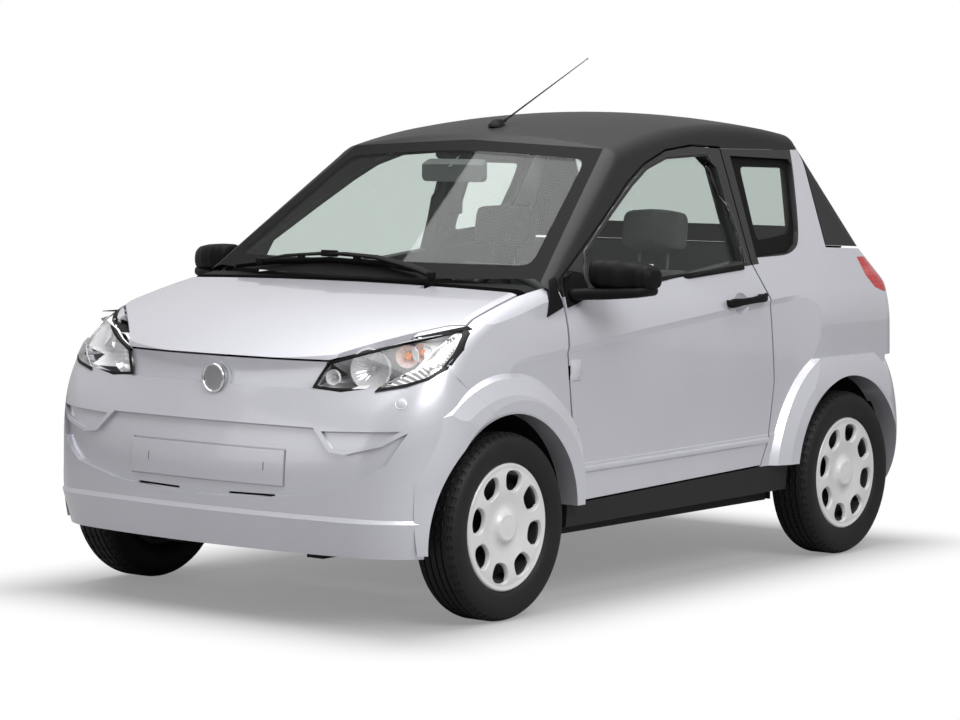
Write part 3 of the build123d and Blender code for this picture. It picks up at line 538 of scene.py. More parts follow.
def sideFrames(skin, path, steps):
    # frames along a (y, z) path laid on the left side's outer skin
    points = []
    for (y0, z0), (y1, z1) in zip(path, path[1:]):
        points += [(between((y0, y1), step / steps), between((z0, z1), step / steps)) for step in range(steps)]
    found = [struck(skin, (1.2, y, z), (-1, 0, 0)) for y, z in points + [path[-1]]]
    found = [(place, normal) for place, normal in found if place]
    frames = []
    for (place, along), (_, normal) in zip(runs([place for place, _ in found]), found):
        frames.append(placed(place, normal.cross(along.normalized()) * -1, normal))
    return frames


def strip(wide, tall, sink=0.002):
    # the outline of a moulding: its foot is sunk and its top is rounded
    half = wide / 2
    return [
        (-half, -sink), (half, -sink), (half, tall * 0.55), (half * 0.6, tall), (-half * 0.6, tall),
        (-half, tall * 0.55)]


leaves = ("door_left_leaf", "door_right_leaf")
print("helpers ready")

# tyres with ribs, sipes and rings on the side walls
tyre = {
    "profile": [
        (0.7, 0.165), (0.709, 0.167), (0.716, 0.176), (0.7185, 0.182), (0.7225, 0.185), (0.7265, 0.192),
        (0.729, 0.2), (0.7315, 0.212), (0.7335, 0.226), (0.7325, 0.24), (0.729, 0.249), (0.7245, 0.2555),
        (0.7155, 0.2615), (0.706, 0.265),
    ],
    "grooves": [0.6945, 0.6725, 0.6505, 0.6285], "half": 0.0028, "crown": 0.2665, "deep": 0.259, "steps": 120,
    "bite": 0.0022, "shoulder": (0.256, 0.2655), "bothSides": 1.323,
}
wheelY = {"front": -0.889, "rear": 0.939}
hubZ = 0.2665


def polar(place, y):
    # distance and angle about a wheel's axis
    return hypot(place.y - y, place.z - hubZ), atan2(place.z - hubZ, place.y - y)


def tyreShape(y):
    left = tyre["profile"][:]
    for place in tyre["grooves"]:
        left += [
            (place + tyre["half"], tyre["crown"]), (place + tyre["half"] * 0.7, tyre["deep"]),
            (place - tyre["half"] * 0.7, tyre["deep"]), (place - tyre["half"], tyre["crown"])]
    left += [(tyre["bothSides"] - along, radius) for along, radius in reversed(tyre["profile"])]
    shape = spun(left + [left[0]], (0, y, hubZ), (1, 0, 0), tyre["steps"])
    low, high = tyre["shoulder"]
    shoulder, ribs = [], []
    for face in shape.faces:
        radius, angle = polar(face.calc_center_median(), y)
        turn = round((angle / tau % 1) * tyre["steps"] - 0.5)
        if low < radius < high and turn % 2 == 0:
            shoulder.append(face)
        elif radius > high and turn % 3 == 0:
            ribs.append(face)
    ops.inset_individual(shape, faces=shoulder, thickness=tyre["bite"], depth=-tyre["bite"])
    ops.inset_individual(shape, faces=ribs, thickness=tyre["bite"] * 1.3, depth=-tyre["bite"] * 0.7)
    return shape


# wheel covers with eight sloping holes round a dished middle
cover = {
    "profile": [
        (0.7115, 0.1825), (0.7165, 0.1825), (0.7215, 0.1795), (0.7235, 0.1755), (0.7215, 0.1715), (0.7205, 0.164),
        (0.7222, 0.1595), (0.7225, 0.15), (0.7225, 0.139), (0.722, 0.128), (0.7213, 0.117), (0.72, 0.107),
        (0.718, 0.096), (0.7155, 0.084), (0.7125, 0.072), (0.7105, 0.062), (0.712, 0.053), (0.7165, 0.046),
        (0.7215, 0.042), (0.7245, 0.037), (0.725, 0.033), (0.7238, 0.03), (0.7243, 0.02), (0.725, 0.008),
        (0.725, 0.0),
    ],
    "holes": 8, "ring": (0.107, 0.1595), "share": 0.33, "across": 0.0365, "tall": 0.032, "middle": 0.1315,
    "turn": 10.0, "square": 2.6, "edge": ((0.001, -0.001), (0.0024, -0.0065), (0.0012, -0.0065)), "wall": 0.0018,
}


def coverShape(y):
    shape = spun(cover["profile"], (0, y, hubZ), (1, 0, 0), 64)
    step, (low, high) = tau / cover["holes"], cover["ring"]
    chosen = []
    for face in shape.faces:
        radius, angle = polar(face.calc_center_median(), y)
        if low < radius < high and abs(angle % step - step / 2) < step * cover["share"]:
            chosen.append(face)
    region = set(chosen)
    for edge in {edge for face in chosen for edge in face.edges}:
        if sum(face in region for face in edge.link_faces) == 1:
            for vert in edge.verts:
                vert.tag = True
    for vert in [vert for vert in shape.verts if vert.tag]:
        vert.tag = False
        radius, angle = polar(vert.co, y)
        hole = (angle // step + 0.5) * step
        sideways = (angle - hole) * cover["middle"] / cover["across"]
        outwards = (radius - cover["middle"]) / cover["tall"]
        size = (abs(sideways) ** cover["square"] + abs(outwards) ** cover["square"]) ** (1 / cover["square"])
        angle = hole + sideways / size * cover["across"] / cover["middle"]
        radius = cover["middle"] + outwards / size * cover["tall"]
        vert.co.y, vert.co.z = y + radius * cos(angle), hubZ + radius * sin(angle)
    ops.recalc_face_normals(shape, faces=shape.faces)
    outward = sum(face.normal.x * face.calc_area() for face in shape.faces)
    if outward < 0:
        ops.reverse_faces(shape, faces=shape.faces)
    for thickness, depth in cover["edge"]:
        ops.inset_region(
            shape, faces=chosen, thickness=thickness, depth=depth, use_even_offset=True, use_boundary=True)
    ops.delete(shape, geom=chosen, context="FACES")
    ops.rotate(
        shape, verts=shape.verts, cent=(0, y, hubZ), matrix=Matrix.Rotation(radians(cover["turn"]), 3, "X"))
    return shape


for end, y in wheelY.items():
    bodies = (f"wheel_{end}_left", f"wheel_{end}_right")
    pair(f"tyre{end.title()}", tyreShape(y), "tyre_rubber", bodies, f"tyre_{end}")
    for made in pair(f"cover{end.title()}", coverShape(y), "cover_silver", bodies, f"cover_{end}"):
        thickened(made, cover["wall"], -1.0)
        rounded(made, 1)
print("wheels made")

# headlamps: a bright tray behind the lens, fluted bowls, amber chambers and bulbs
lamp = {
    "outline": [
        (0.342, 0.661), (0.352, 0.69), (0.379, 0.733), (0.45, 0.756), (0.52, 0.779), (0.592, 0.801),
        (0.657, 0.819), (0.661, 0.8), (0.658, 0.775), (0.64, 0.722), (0.6, 0.698), (0.56, 0.674),
        (0.5, 0.664), (0.436, 0.654), (0.39, 0.657)],
    "gap": 0.006, "depth": 0.05, "shrink": (0.97, 0.93, 0.9), "wall": 0.0012,
    "bulbs": (((0.468, -1.176, 0.714), (0.36, -0.93, 0.02), 0.009, 0.02),
              ((0.392, -1.25, 0.691), (0.2, -0.98, 0), 0.005, 0.012)),
    "ambers": (((0.557, -1.13, 0.752), (0.5, -0.86, 0.05), 0.0115, 0.014),
               ((0.587, -1.102, 0.762), (0.56, -0.82, 0.05), 0.0115, 0.014)),
}
lampBowls = [
    {"place": (0.474, -1.196, 0.714), "aim": (0.36, -0.93, 0.02), "radius": 0.055, "deep": 0.04, "flutes": 20},
    {"place": (0.56, -1.141, 0.752), "aim": (0.5, -0.86, 0.05), "radius": 0.031, "deep": 0.026, "flutes": 14},
    {"place": (0.59, -1.112, 0.762), "aim": (0.56, -0.82, 0.05), "radius": 0.027, "deep": 0.024, "flutes": 12},
    {"place": (0.392, -1.258, 0.691), "aim": (0.2, -0.98, 0), "radius": 0.021, "deep": 0.02, "flutes": 10},
]


def lampTray():
    lens = skinOf("headlamp_lenses")
    shape = bmesh.new()
    ring = []
    for x, z in lamp["outline"]:
        place = struck(lens, (x, -1.6, z), (0, 1, 0))[0] or Vector((x, -1.15, z))
        ring.append(shape.verts.new((x, place.y + lamp["gap"], z)))
    edges = [shape.edges.new(pair) for pair in zip(ring, ring[1:] + ring[:1])]
    middle = sum((vert.co for vert in ring), Vector()) / len(ring)
    for shrink in lamp["shrink"]:
        grown = ops.extrude_edge_only(shape, edges=edges)["geom"]
        edges = [edge for edge in only(bmesh.types.BMEdge, grown) if edge.is_boundary]
        for vert in only(bmesh.types.BMVert, grown):
            vert.co.x = middle.x + (vert.co.x - middle.x) * shrink
            vert.co.z = middle.z + (vert.co.z - middle.z) * shrink
            vert.co.y += lamp["depth"] * 0.33
    ops.edgeloop_fill(shape, edges=edges)
    ops.triangulate(shape, faces=[face for face in shape.faces if len(face.verts) > 4])
    return shape


def lampBowl(values):
    deep, radius = values["deep"], values["radius"]
    aim = Vector(values["aim"]).normalized()
    profile = [(-deep * (1 - part * part), radius * part) for part in (0.0, 0.2, 0.4, 0.6, 0.8, 0.92, 1.0)]
    profile += [(0.002, radius * 1.02), (0.001, radius * 1.06), (-deep * 0.4, radius * 1.05)]
    shape = spun(profile, values["place"], aim, values["flutes"] * 4)
    across = aim.cross(Vector((0, 0, 1))).normalized()
    up = across.cross(aim)
    for vert in shape.verts:
        arm = vert.co - Vector(values["place"])
        flat = Vector((arm.dot(across), arm.dot(up)))
        if 0.15 * radius < flat.length < 0.99 * radius:
            wave = cos(atan2(flat.y, flat.x) * values["flutes"])
            vert.co += aim * wave * 0.0016 * flat.length / radius
    return shape


def bulb(place, aim, radius, long):
    profile = [
        (-long, 0.0), (-long, radius * 0.8), (-long * 0.4, radius), (0, radius * 0.95),
        (radius * 0.6, radius * 0.6), (radius * 0.8, 0.0)]
    return spun(profile, place, Vector(aim).normalized(), 24)


noseNames = ("front_bumper", "wing_left", "headlamp_lenses")
lampTip = {
    "x": (0.64, 0.691), "z": (0.7315, 0.779), "sink": 0.0008, "wall": 0.0016, "rise": 0.004,
    "end": [
        (0.656, 0.817), (0.668, 0.826), (0.68, 0.815), (0.6935, 0.772), (0.6945, 0.722), (0.6735, 0.6957),
        (0.6274, 0.6765), (0.5408, 0.6597), (0.548, 0.671), (0.59, 0.698), (0.632, 0.725), (0.652, 0.79)],
    "brow": [(0.372, 0.726), (0.376, 0.7415), (0.662, 0.8345), (0.677, 0.826), (0.668, 0.82), (0.381, 0.727)],
}


def lampCorner():
    # a painted corner that carries the nose round the tip of the lamp to the wing
    skin, lens = skinOf(*noseNames), skinOf("headlamp_lenses")
    shape = bmesh.new()
    ops.create_grid(shape, x_segments=12, y_segments=12, size=0.5)
    for vert in shape.verts:
        part = vert.co.y + 0.5
        x = between(lampTip["x"], vert.co.x + 0.5)
        low, high = (struck(skin, (x, -1.7, z), (0, 1, 0))[0].y for z in lampTip["z"])
        z = between(lampTip["z"], part)
        y = between((low, high), part)
        glass, panel = (struck(each, (x, -1.7, z), (0, 1, 0))[0] for each in (lens, skin))
        y = max([y] + [hit.y + lampTip["sink"] for hit in (glass, panel) if hit and (hit.y < y or hit is glass)])
        vert.co = (x, y, z)
    return shape


def frontPlate(points, skins):
    # a thin plate laid on the nose, seen from the front
    def lay(place):
        hits = [struck(skin, (place.x, -1.7, place.z), (0, 1, 0))[0] for skin in skins]
        hits = [hit for hit in hits if hit] or [skins[0].find_nearest(place)[0]]
        place.y = min(hit.y for hit in hits)
    return plateOn([(x, -1.1, z) for x, z in points], 12, lay, (0, -lampTip["rise"], 0))


for made in pair("lampCorner", lampCorner(), "body_paint"):
    thickened(made, lampTip["wall"])
tipSkins = [skinOf(*noseNames), BVHTree.FromBMesh(lampCorner())]
pair("lampEnd", frontPlate(lampTip["end"], tipSkins), "lamp_clear", look="lamp_outer", crease=60)
pair("lampBrow", frontPlate(lampTip["brow"], tipSkins[:1]), "black_plastic", crease=60)
trays = pair("lampTray", lampTray(), "bright_metal", look="lamp_silver", crease=30)
for tray in trays:
    thickened(tray, lamp["wall"])
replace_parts(trays[0], "headlamp_bowls")
pair("lampBowls", joined([lampBowl(values) for values in lampBowls]), "bright_metal", look="lamp_bowl", crease=60)
pair("lampBulb", joined([bulb(*values) for values in lamp["bulbs"]]), "cover_silver")
pair("lampAmber", joined([bulb(*values) for values in lamp["ambers"]]), "lamp_red", look="amber")
print("headlamps made")

# door mirrors: a rounded shell over a dark foot, with the glass behind
mirror = {
    "shell": [
        # outboard, back and forth, height, scale of depth, scale of height
        (0.704, -0.452, 0.966, 0.55, 0.62), (0.711, -0.453, 0.965, 0.8, 0.85), (0.724, -0.455, 0.9635, 0.95, 0.98),
        (0.76, -0.455, 0.963, 1.02, 1.0), (0.81, -0.444, 0.961, 1.0, 0.97), (0.85, -0.428, 0.958, 0.9, 0.91),
        (0.874, -0.416, 0.955, 0.76, 0.8), (0.884, -0.409, 0.953, 0.6, 0.62), (0.8865, -0.406, 0.952, 0.38, 0.36)],
    "foot": [
        (0.664, -0.505, 0.903, 0.95, 1.1), (0.69, -0.5, 0.904, 0.9, 1.0), (0.72, -0.48, 0.906, 0.95, 1.0),
        (0.77, -0.462, 0.908, 1.0, 1.0), (0.83, -0.442, 0.912, 0.95, 0.95), (0.87, -0.422, 0.916, 0.8, 0.8),
        (0.882, -0.414, 0.918, 0.6, 0.55)],
    "shellSize": (0.112, 0.088, 0.034), "footSize": (0.104, 0.034, 0.015),
    "glass": ((0.14, 0.003, 0.066), (0.795, -0.3915, 0.961), 0.0012, 2),
}


def mirrorPart(rows, size):
    frames = [Matrix(((0, 0, 1, x), (scaleY, 0, 0, y), (0, scaleZ, 0, z), (0, 0, 0, 1)))
              for x, y, z, scaleY, scaleZ in rows]
    return bar(size, 3, frames)


for name, node in (("shell", "mirror"), ("foot", None)):
    pair("mirror" + name.title(), mirrorPart(mirror[name], mirror[name + "Size"]), "black_plastic",
         leaves, node, smooth=1, crease=80)
pair("mirrorGlass", blocked(*mirror["glass"]), "bright_metal", leaves)

# moulded plates in front of the door glass, one on the body and one on the door
sideSkin = skinOf("door_left", "quarter_left", "wing_left", "roof", "quarter_glasses", "door_glass_left")
sail = {
    "front": [(-0.668, 0.846), (-0.64, 0.893), (-0.606, 0.946), (-0.579, 0.958), (-0.581, 0.87)],
    "rear": [
        (-0.561, 0.868), (-0.551, 0.955), (-0.512, 0.972), (-0.452, 0.964), (-0.438, 0.918), (-0.455, 0.896),
        (-0.51, 0.878)],
    "frontRise": 0.005, "rearRise": 0.006, "sink": 0.001, "beside": 0.66,
}


def sailPlate(points, rise):
    def lay(place):
        hit = struck(sideSkin, (1.2, place.y, place.z), (-1, 0, 0))[0]
        place.x = hit.x - sail["sink"] if hit else sail["beside"]
    return plateOn([(1.0, y, z) for y, z in points], 3, lay, (rise, 0, 0))


for name, bodies in (("front", ("chassis", "chassis")), ("rear", leaves)):
    pair("sail" + name.title(), sailPlate(sail[name], sail[name + "Rise"]), "black_plastic", bodies)
print("mirrors made")

# mouldings and seals on the sides
moulding = {
    "belt": {
        "path": [(-0.438, 0.906), (-0.2, 0.919), (0.1, 0.936), (0.407, 0.953)], "wide": 0.017, "tall": 0.007,
        "slot": "black_plastic", "look": "black_plastic"},
    "pillar": {
        "path": [(0.432, 0.962), (0.426, 1.05), (0.412, 1.15), (0.391, 1.25), (0.372, 1.302)],
        "wide": 0.02, "tall": 0.004, "slot": "black_plastic", "look": "gloss_black"},
    "seal": {
        "path": [
            (-0.452, 0.918), (-0.409, 1.022), (-0.222, 1.137), (-0.083, 1.217), (0.017, 1.266),
            (0.138, 1.2985), (0.362, 1.3065)],
        "wide": 0.009, "tall": 0.003, "slot": "black_plastic", "look": "gloss_black"},
    "swage": {
        "path": [(-0.524, 0.396), (-0.2, 0.3985), (0.11, 0.402), (0.49, 0.407)], "wide": 0.019,
        "tall": 0.0065, "slot": "body_paint", "look": "body_paint"},
}
doorSkin = skinOf("door_left", "door_glass_left")


def stripShape(values):
    return swept(strip(values["wide"], values["tall"]), sideFrames(doorSkin, values["path"], 4))


for name, values in moulding.items():
    pair(name + "Strip", stripShape(values), values["slot"], leaves, look=values["look"])
print("mouldings made")

# hinge covers: low blisters over the upper hinges on the doors
hinge = {
    "y": (-0.562, -0.505), "z": (0.654, 0.719), "rise": 0.01, "x": 0.6972, "lean": 0.014, "low": 0.64,
    "wall": 0.0008,
}


def hingeShape():
    shape = bmesh.new()
    ops.create_grid(shape, x_segments=12, y_segments=12, size=1.0)
    for vert in shape.verts:
        y = between(hinge["y"], (vert.co.x + 1) / 2)
        z = between(hinge["z"], (vert.co.y + 1) / 2)
        bulge = (1 - vert.co.x ** 2) * (1 - vert.co.y ** 2)
        vert.co = (hinge["x"] - (z - hinge["low"]) * hinge["lean"] + hinge["rise"] * bulge, y, z)
    return shape


for made in pair("hingeCover", hingeShape(), "body_paint", leaves):
    thickened(made, hinge["wall"], -1.0)

# door handles: a thick lever with a boss at each end and a lock
handle = {
    "rows": [
        # along the car, height, outward, scale across, scale up
        (0.262, 0.846, 0.699, 0.45, 0.45), (0.266, 0.846, 0.702, 0.8, 0.85), (0.276, 0.847, 0.706, 1.0, 1.12),
        (0.296, 0.848, 0.7095, 1.0, 1.05), (0.33, 0.85, 0.712, 0.95, 0.86), (0.37, 0.8525, 0.713, 0.95, 0.82),
        (0.41, 0.855, 0.712, 0.95, 0.88), (0.446, 0.8575, 0.7095, 1.0, 1.05), (0.464, 0.859, 0.706, 1.0, 1.1),
        (0.475, 0.8595, 0.702, 0.8, 0.85), (0.479, 0.8595, 0.699, 0.45, 0.45)],
    "size": (0.013, 0.026, 0.006), "feet": ((0.694, 0.279, 0.847), (0.694, 0.461, 0.859)),
    "boss": (0.022, 0.024, 0.02), "soft": 0.004,
    "lock": [(-0.004, 0.0), (-0.004, 0.0075), (0.002, 0.0075), (0.003, 0.0065), (0.003, 0.0)],
    "lockPlace": (0.7085, 0.461, 0.859),
}


def handleLever():
    frames = [Matrix(((scaleX, 0, 0, x), (0, 0, 1, y), (0, scaleZ, 0, z), (0, 0, 0, 1)))
              for y, z, x, scaleX, scaleZ in handle["rows"]]
    feet = [blocked(handle["boss"], place, handle["soft"]) for place in handle["feet"]]
    return joined([bar(handle["size"], 3, frames), *feet])


pair("handleLever", handleLever(), "black_plastic", leaves, "handle", smooth=1, crease=80)
pair("doorLock", spun(handle["lock"], handle["lockPlace"], (1, 0, 0), 24), "bright_metal", leaves)
print("handles made")

# wiper: arm, bridge with claws and rubber, lying just off the glass
wiper = {
    # each bar: its section, the points it passes through and how it tapers there
    "arm": ((0.02, 0.009, 0.003), [
        (0.31, -0.724, 0.953), (0.262, -0.714, 0.966), (0.185, -0.7, 0.98), (0.075, -0.69, 0.997),
        (-0.055, -0.682, 1.003), (-0.12, -0.68, 1.001)],
        [(1.1, 1.3), (1.15, 1.2), (1.0, 1.0), (0.8, 0.9), (0.62, 0.8), (0.5, 0.7)]),
    "bridge": ((0.012, 0.006, 0.002), [
        (-0.4, -0.678, 0.973), (-0.3, -0.672, 0.99), (-0.12, -0.672, 1.003), (0.06, -0.684, 0.996),
        (0.15, -0.694, 0.982)],
        [(0.6, 0.7), (0.9, 1), (1.2, 1.2), (0.9, 1), (0.6, 0.7)]),
    "rubber": ((0.008, 0.017, 0.002), [
        (-0.492, -0.68, 0.952), (-0.33, -0.672, 0.971), (-0.12, -0.672, 0.983), (0.09, -0.684, 0.978),
        (0.236, -0.7, 0.963)],
        [(0.8, 0.7), (1, 1), (1, 1), (1, 1), (0.8, 0.7)]),
    "claws": ((-0.4, -0.676, 0.968), (-0.235, -0.672, 0.987), (-0.01, -0.678, 0.99), (0.15, -0.692, 0.977)),
    "clip": (-0.12, -0.675, 1.002), "tilt": (0, -0.5, 0.86), "foot": (0.31, -0.724, 0.955),
    "boss": [
        (-0.071, 0.0), (-0.071, 0.008), (-0.012, 0.008), (-0.01, 0.0135), (0.006, 0.0135), (0.01, 0.01),
        (0.011, 0.0)],
}


def wiperBar(size, points, scales):
    tilt = Vector(wiper["tilt"])
    frames = []
    for (place, along), (wide, tall) in zip(runs([Vector(point) for point in points]), scales):
        across = along.normalized().cross(tilt).normalized()
        out = across.cross(along.normalized())
        frame = placed(place, across, out * (1 if out.dot(tilt) > 0 else -1))
        frames.append(frame @ Matrix.Diagonal((wide, tall, 1, 1)))
    return bar(size, 2, frames)


def wiperShape():
    bars = [wiperBar(*wiper[name]) for name in ("arm", "bridge", "rubber")]
    clip = blocked((0.06, 0.016, 0.02), wiper["clip"], 0.004)
    boss = spun(wiper["boss"], wiper["foot"], (0, -0.08, 1), 24)
    claws = [blocked((0.026, 0.012, 0.022), place, 0.003, 2) for place in wiper["claws"]]
    return joined([*bars, clip, boss, *claws])


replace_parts(piece("wiperArm", wiperShape(), "black_plastic", crease=35), "wiper")

# aerial: a moulded foot and a thin tapered rod
aerial = {
    "foot": (0, -0.011, 1.386), "tip": (0, 0.4735, 1.609), "size": (0.046, 0.06, 0.02),
    "base": ((-0.011, 1.3845, 1, 1), (-0.011, 1.3925, 0.92, 0.94), (-0.007, 1.4035, 0.55, 0.62),
             (-0.003, 1.409, 0.36, 0.42)),
}


def aerialShape():
    foot, tip = Vector(aerial["foot"]), Vector(aerial["tip"])
    frames = [Matrix.Translation((0, y, z)) @ Matrix.Diagonal((wide, long, 1, 1))
              for y, z, wide, long in aerial["base"]]
    long = (tip - foot).length
    rod = spun([
        (0.012, 0.0), (0.012, 0.006), (0.05, 0.0052), (0.056, 0.003), (long * 0.5, 0.0022),
        (long - 0.004, 0.0013), (long - 0.003, 0.0024), (long, 0.002), (long, 0.0)],
        foot, (tip - foot).normalized(), 16)
    return joined([bar(aerial["size"], 4, frames), rod])


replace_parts(piece("aerialRod", aerialShape(), "black_plastic", crease=50), "aerial")
print("wiper and aerial made")

# seats: stuffed cushion, back and headrest on a plinth
seat = {
    "x": 0.3, "voxel": 0.007, "pressure": 4.0, "cap": 0.012, "frames": 20, "taper": 0.1,
    "cushion": {"size": (0.425, 0.445, 0.1), "place": (0.083, 0.402), "turn": 4.0, "bolster": 0.022, "fill": 0.7},
    "back": {"size": (0.395, 0.088, 0.515), "place": (0.372, 0.69), "turn": -15.5, "bolster": 0.02, "fill": 0.7},
    "head": {"size": (0.225, 0.066, 0.125), "place": (0.436, 1.058), "turn": -6.0, "bolster": 0.0, "fill": 0.75},
    "piping": {"inset": 0.085, "rise": 0.0075, "corner": 0.05, "section": (0.006, 0.006, 0.0028)},
    "plinth": ((0.36, 0.4, 0.112), (0.105, 0.2965), 0.012),
    "rail": ((0.03, 0.46, 0.022), (0.1, 0.2515), 0.004), "railApart": 0.15,
    "hinge": ((0.02, 0.07, 0.1), (0.325, 0.4), 0.008), "hingeApart": 0.205,
    "post": [(0, 0.0), (0, 0.006), (0.095, 0.006), (0.095, 0.0)], "postApart": 0.055,
}


def seatTurn(values):
    place = Matrix.Translation((seat["x"], *values["place"]))
    return place @ Matrix.Rotation(radians(values["turn"]), 4, "X")


def facing(values):
    # which axis a pad is thin along, and the sign of the side that faces the sitter
    return (1, -1) if values["size"][1] < values["size"][2] else (2, 1)


def padShape(values):
    # a softened block whose long sides stand a little proud, as bolsters
    shape = bmesh.new()
    ops.create_cube(shape, size=1.0, matrix=Matrix.Diagonal((*values["size"], 1)))
    ops.subdivide_edges(shape, edges=shape.edges[:], cuts=7, use_grid_fill=True)
    thin, way = facing(values)
    for vert in shape.verts:
        side = abs(vert.co.x) / (values["size"][0] / 2)
        if vert.co[thin] * way > 0:
            vert.co[thin] += way * values["bolster"] * max(0.0, side - 0.55) / 0.45
        end = abs(vert.co[3 - thin]) / (values["size"][3 - thin] / 2)
        vert.co.x *= 1 - seat["taper"] * max(0.0, end - 0.6) / 0.4
    for _ in range(2):
        ops.smooth_vert(
            shape, verts=shape.verts, factor=0.5, use_axis_x=True, use_axis_y=True, use_axis_z=True)
    ops.transform(shape, matrix=seatTurn(values), verts=shape.verts)
    return shape


def stuffed(shape, name):
    # remeshed evenly, then blown out a little by cloth with pressure
    work = linked(name + "Start", meshOf(name + "Start", shape))
    even = work.modifiers.new("even", "REMESH")
    even.mode, even.voxel_size = "VOXEL", seat["voxel"]
    seen = bpy.context.evaluated_depsgraph_get()
    work.data = bpy.data.meshes.new_from_object(work.evaluated_get(seen))
    work.modifiers.clear()
    before = [vert.co.copy() for vert in work.data.vertices]
    cloth = work.modifiers.new("cloth", "CLOTH")
    cloth.settings.use_pressure = True
    cloth.settings.uniform_pressure_force = seat["pressure"]
    cloth.settings.effector_weights.gravity = 0
    scene = bpy.context.scene
    for step in range(1, seat["frames"] + 1):
        scene.frame_set(step)
    after = work.evaluated_get(bpy.context.evaluated_depsgraph_get()).to_mesh()
    moved = []
    for start, vert in zip(before, after.vertices):
        shift = vert.co - start
        moved.append(start + shift * min(1.0, seat["cap"] / max(shift.length, 1e-6)))
    work.modifiers.clear()
    scene.frame_set(1)
    grown = bmesh.new()
    grown.from_mesh(work.data)
    grown.verts.ensure_lookup_table()
    for vert, place in zip(grown.verts, moved):
        vert.co = place
    bpy.data.objects.remove(work)
    return grown


def pipingShape(values):
    # a sewn cord round the face of a pad
    size, piping, (thin, way) = values["size"], seat["piping"], facing(values)
    face = (size[thin] / 2 + piping["rise"]) * way
    outline = roundedOutline(size[0] - piping["inset"], size[3 - thin] - piping["inset"], piping["corner"], 5)
    turn = seatTurn(values)
    points = [turn @ (Vector((x, face, y)) if thin == 1 else Vector((x, y, face))) for x, y in outline]
    out = turn.to_3x3() @ (Vector((0, -1, 0)) if thin == 1 else Vector((0, 0, 1)))
    frames = [placed(point, along.normalized().cross(out), out) for point, along in runs(points + [points[0]])]
    return bar(piping["section"], 2, frames)


pads = {name: padShape(seat[name]) for name in ("cushion", "back", "head")}
pads = {name: stuffed(shape, name) for name, shape in pads.items()}
for name, shape in pads.items():
    for pad in pair("seat" + name.title(), shape, "seat_fabric", node="seat", smooth=1, crease=180):
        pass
for name in ("cushion", "back"):
    pair("piping" + name.title(), pipingShape(seat[name]), "seat_fabric", look="seat_piping")


def plinthShape():
    # the base on its rails, with the back's hinges and the posts of the headrest
    parts = []
    for name, sides in (("plinth", (0,)), ("rail", (-1, 1)), ("hinge", (-1, 1))):
        size, place, soften = seat[name]
        for side in sides:
            shift = side * seat.get(name + "Apart", 0)
            parts.append(blocked(size, (seat["x"] + shift, *place), soften))
    for side in (-1, 1):
        place = (seat["x"] + side * seat["postApart"], 0.424, 0.925)
        parts.append(spun(seat["post"], place, (0, 0.12, 1), 12))
    return joined(parts)


pair("seatPlinth", plinthShape(), "cabin_plastic")
print("seats made")

# steering wheel with a padded hub and three spokes
wheel = {
    "place": (0.29, -0.27, 0.8), "axis": (0, 1, 0.55), "radius": 0.168, "grip": 0.0145,
    "hub": [
        (-0.03, 0.0), (-0.03, 0.03), (-0.015, 0.052), (0.006, 0.058), (0.014, 0.05), (0.018, 0.03),
        (0.019, 0.0)],
    "column": [(-0.178, 0.0), (-0.178, 0.0215), (-0.06, 0.0215), (-0.028, 0.034), (-0.028, 0.0)],
    # a spoke's reach from the middle, its width there and how far it lies back
    "spoke": ((0.035, 1.4, 0.004), (0.085, 1.0, 0.0), (0.13, 0.8, -0.002), (0.166, 1.0, -0.001)),
    "spokeSize": (0.034, 0.012, 0.005), "spokes": (0, 180, 270),
}


def steeringShape():
    place, axis = Vector(wheel["place"]), Vector(wheel["axis"]).normalized()
    grip = []
    for step in range(13):
        angle = radians(step * 30)
        grip.append((wheel["grip"] * sin(angle), wheel["radius"] + wheel["grip"] * cos(angle)))
    profiles = ((grip, 64), (wheel["hub"], 32), (wheel["column"], 24))
    parts = [spun(profile, place, axis, steps) for profile, steps in profiles]
    up = Vector((1, 0, 0)).cross(axis)
    for angle in wheel["spokes"]:
        aim = Vector((1, 0, 0)) * cos(radians(angle)) + up * sin(radians(angle)) * -1
        frames = [
            placed(place + aim * reach - axis * sink, aim.cross(axis), axis) @ Matrix.Diagonal((wide, 1, 1, 1))
            for reach, wide, sink in wheel["spoke"]]
        parts.append(bar(wheel["spokeSize"], 2, frames))
    return joined(parts)


made = piece("steeringWheel", steeringShape(), "cabin_plastic", "steering_column", crease=50)
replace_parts(made, "steering_wheel")

# cabin fittings seen through the glass
cabin = {
    "belt": [(0.546, 0.482, 1.105), (0.606, 0.47, 0.96), (0.643, 0.44, 0.72), (0.645, 0.4, 0.48)],
    "beltSize": (0.046, 0.0022, 0.001),
    "beltTop": ((0.016, 0.06, 0.045), (0.5505, 0.484, 1.112), 0.005),
    "beltFoot": ((0.014, 0.06, 0.05), (0.65, 0.4, 0.475), 0.004),
    "ventX": (-0.33, 0.0), "ventY": -0.452, "slats": (-0.009, -0.003, 0.003, 0.009),
    "console": ((0.19, 0.018, 0.135), (0.0, -0.369, 0.735), 0.006),
    "display": ((0.165, 0.006, 0.05), (0.0, -0.359, 0.77), 0.002),
    "knob": [(0, 0.0), (0, 0.016), (0.01, 0.015), (0.012, 0.012), (0.012, 0.0)], "knobX": (-0.055, 0.0, 0.055),
    "lever": [
        (0, 0.0), (0, 0.055), (0.012, 0.052), (0.03, 0.04), (0.055, 0.03), (0.085, 0.018), (0.11, 0.011),
        (0.114, 0.0065), (0.205, 0.0065), (0.208, 0.016), (0.225, 0.0235), (0.245, 0.0245), (0.262, 0.019),
        (0.268, 0.0)],
    "mirror": ((0.22, 0.003, 0.062), (0.0, -0.2112, 1.25), 0.0012, 2),
}


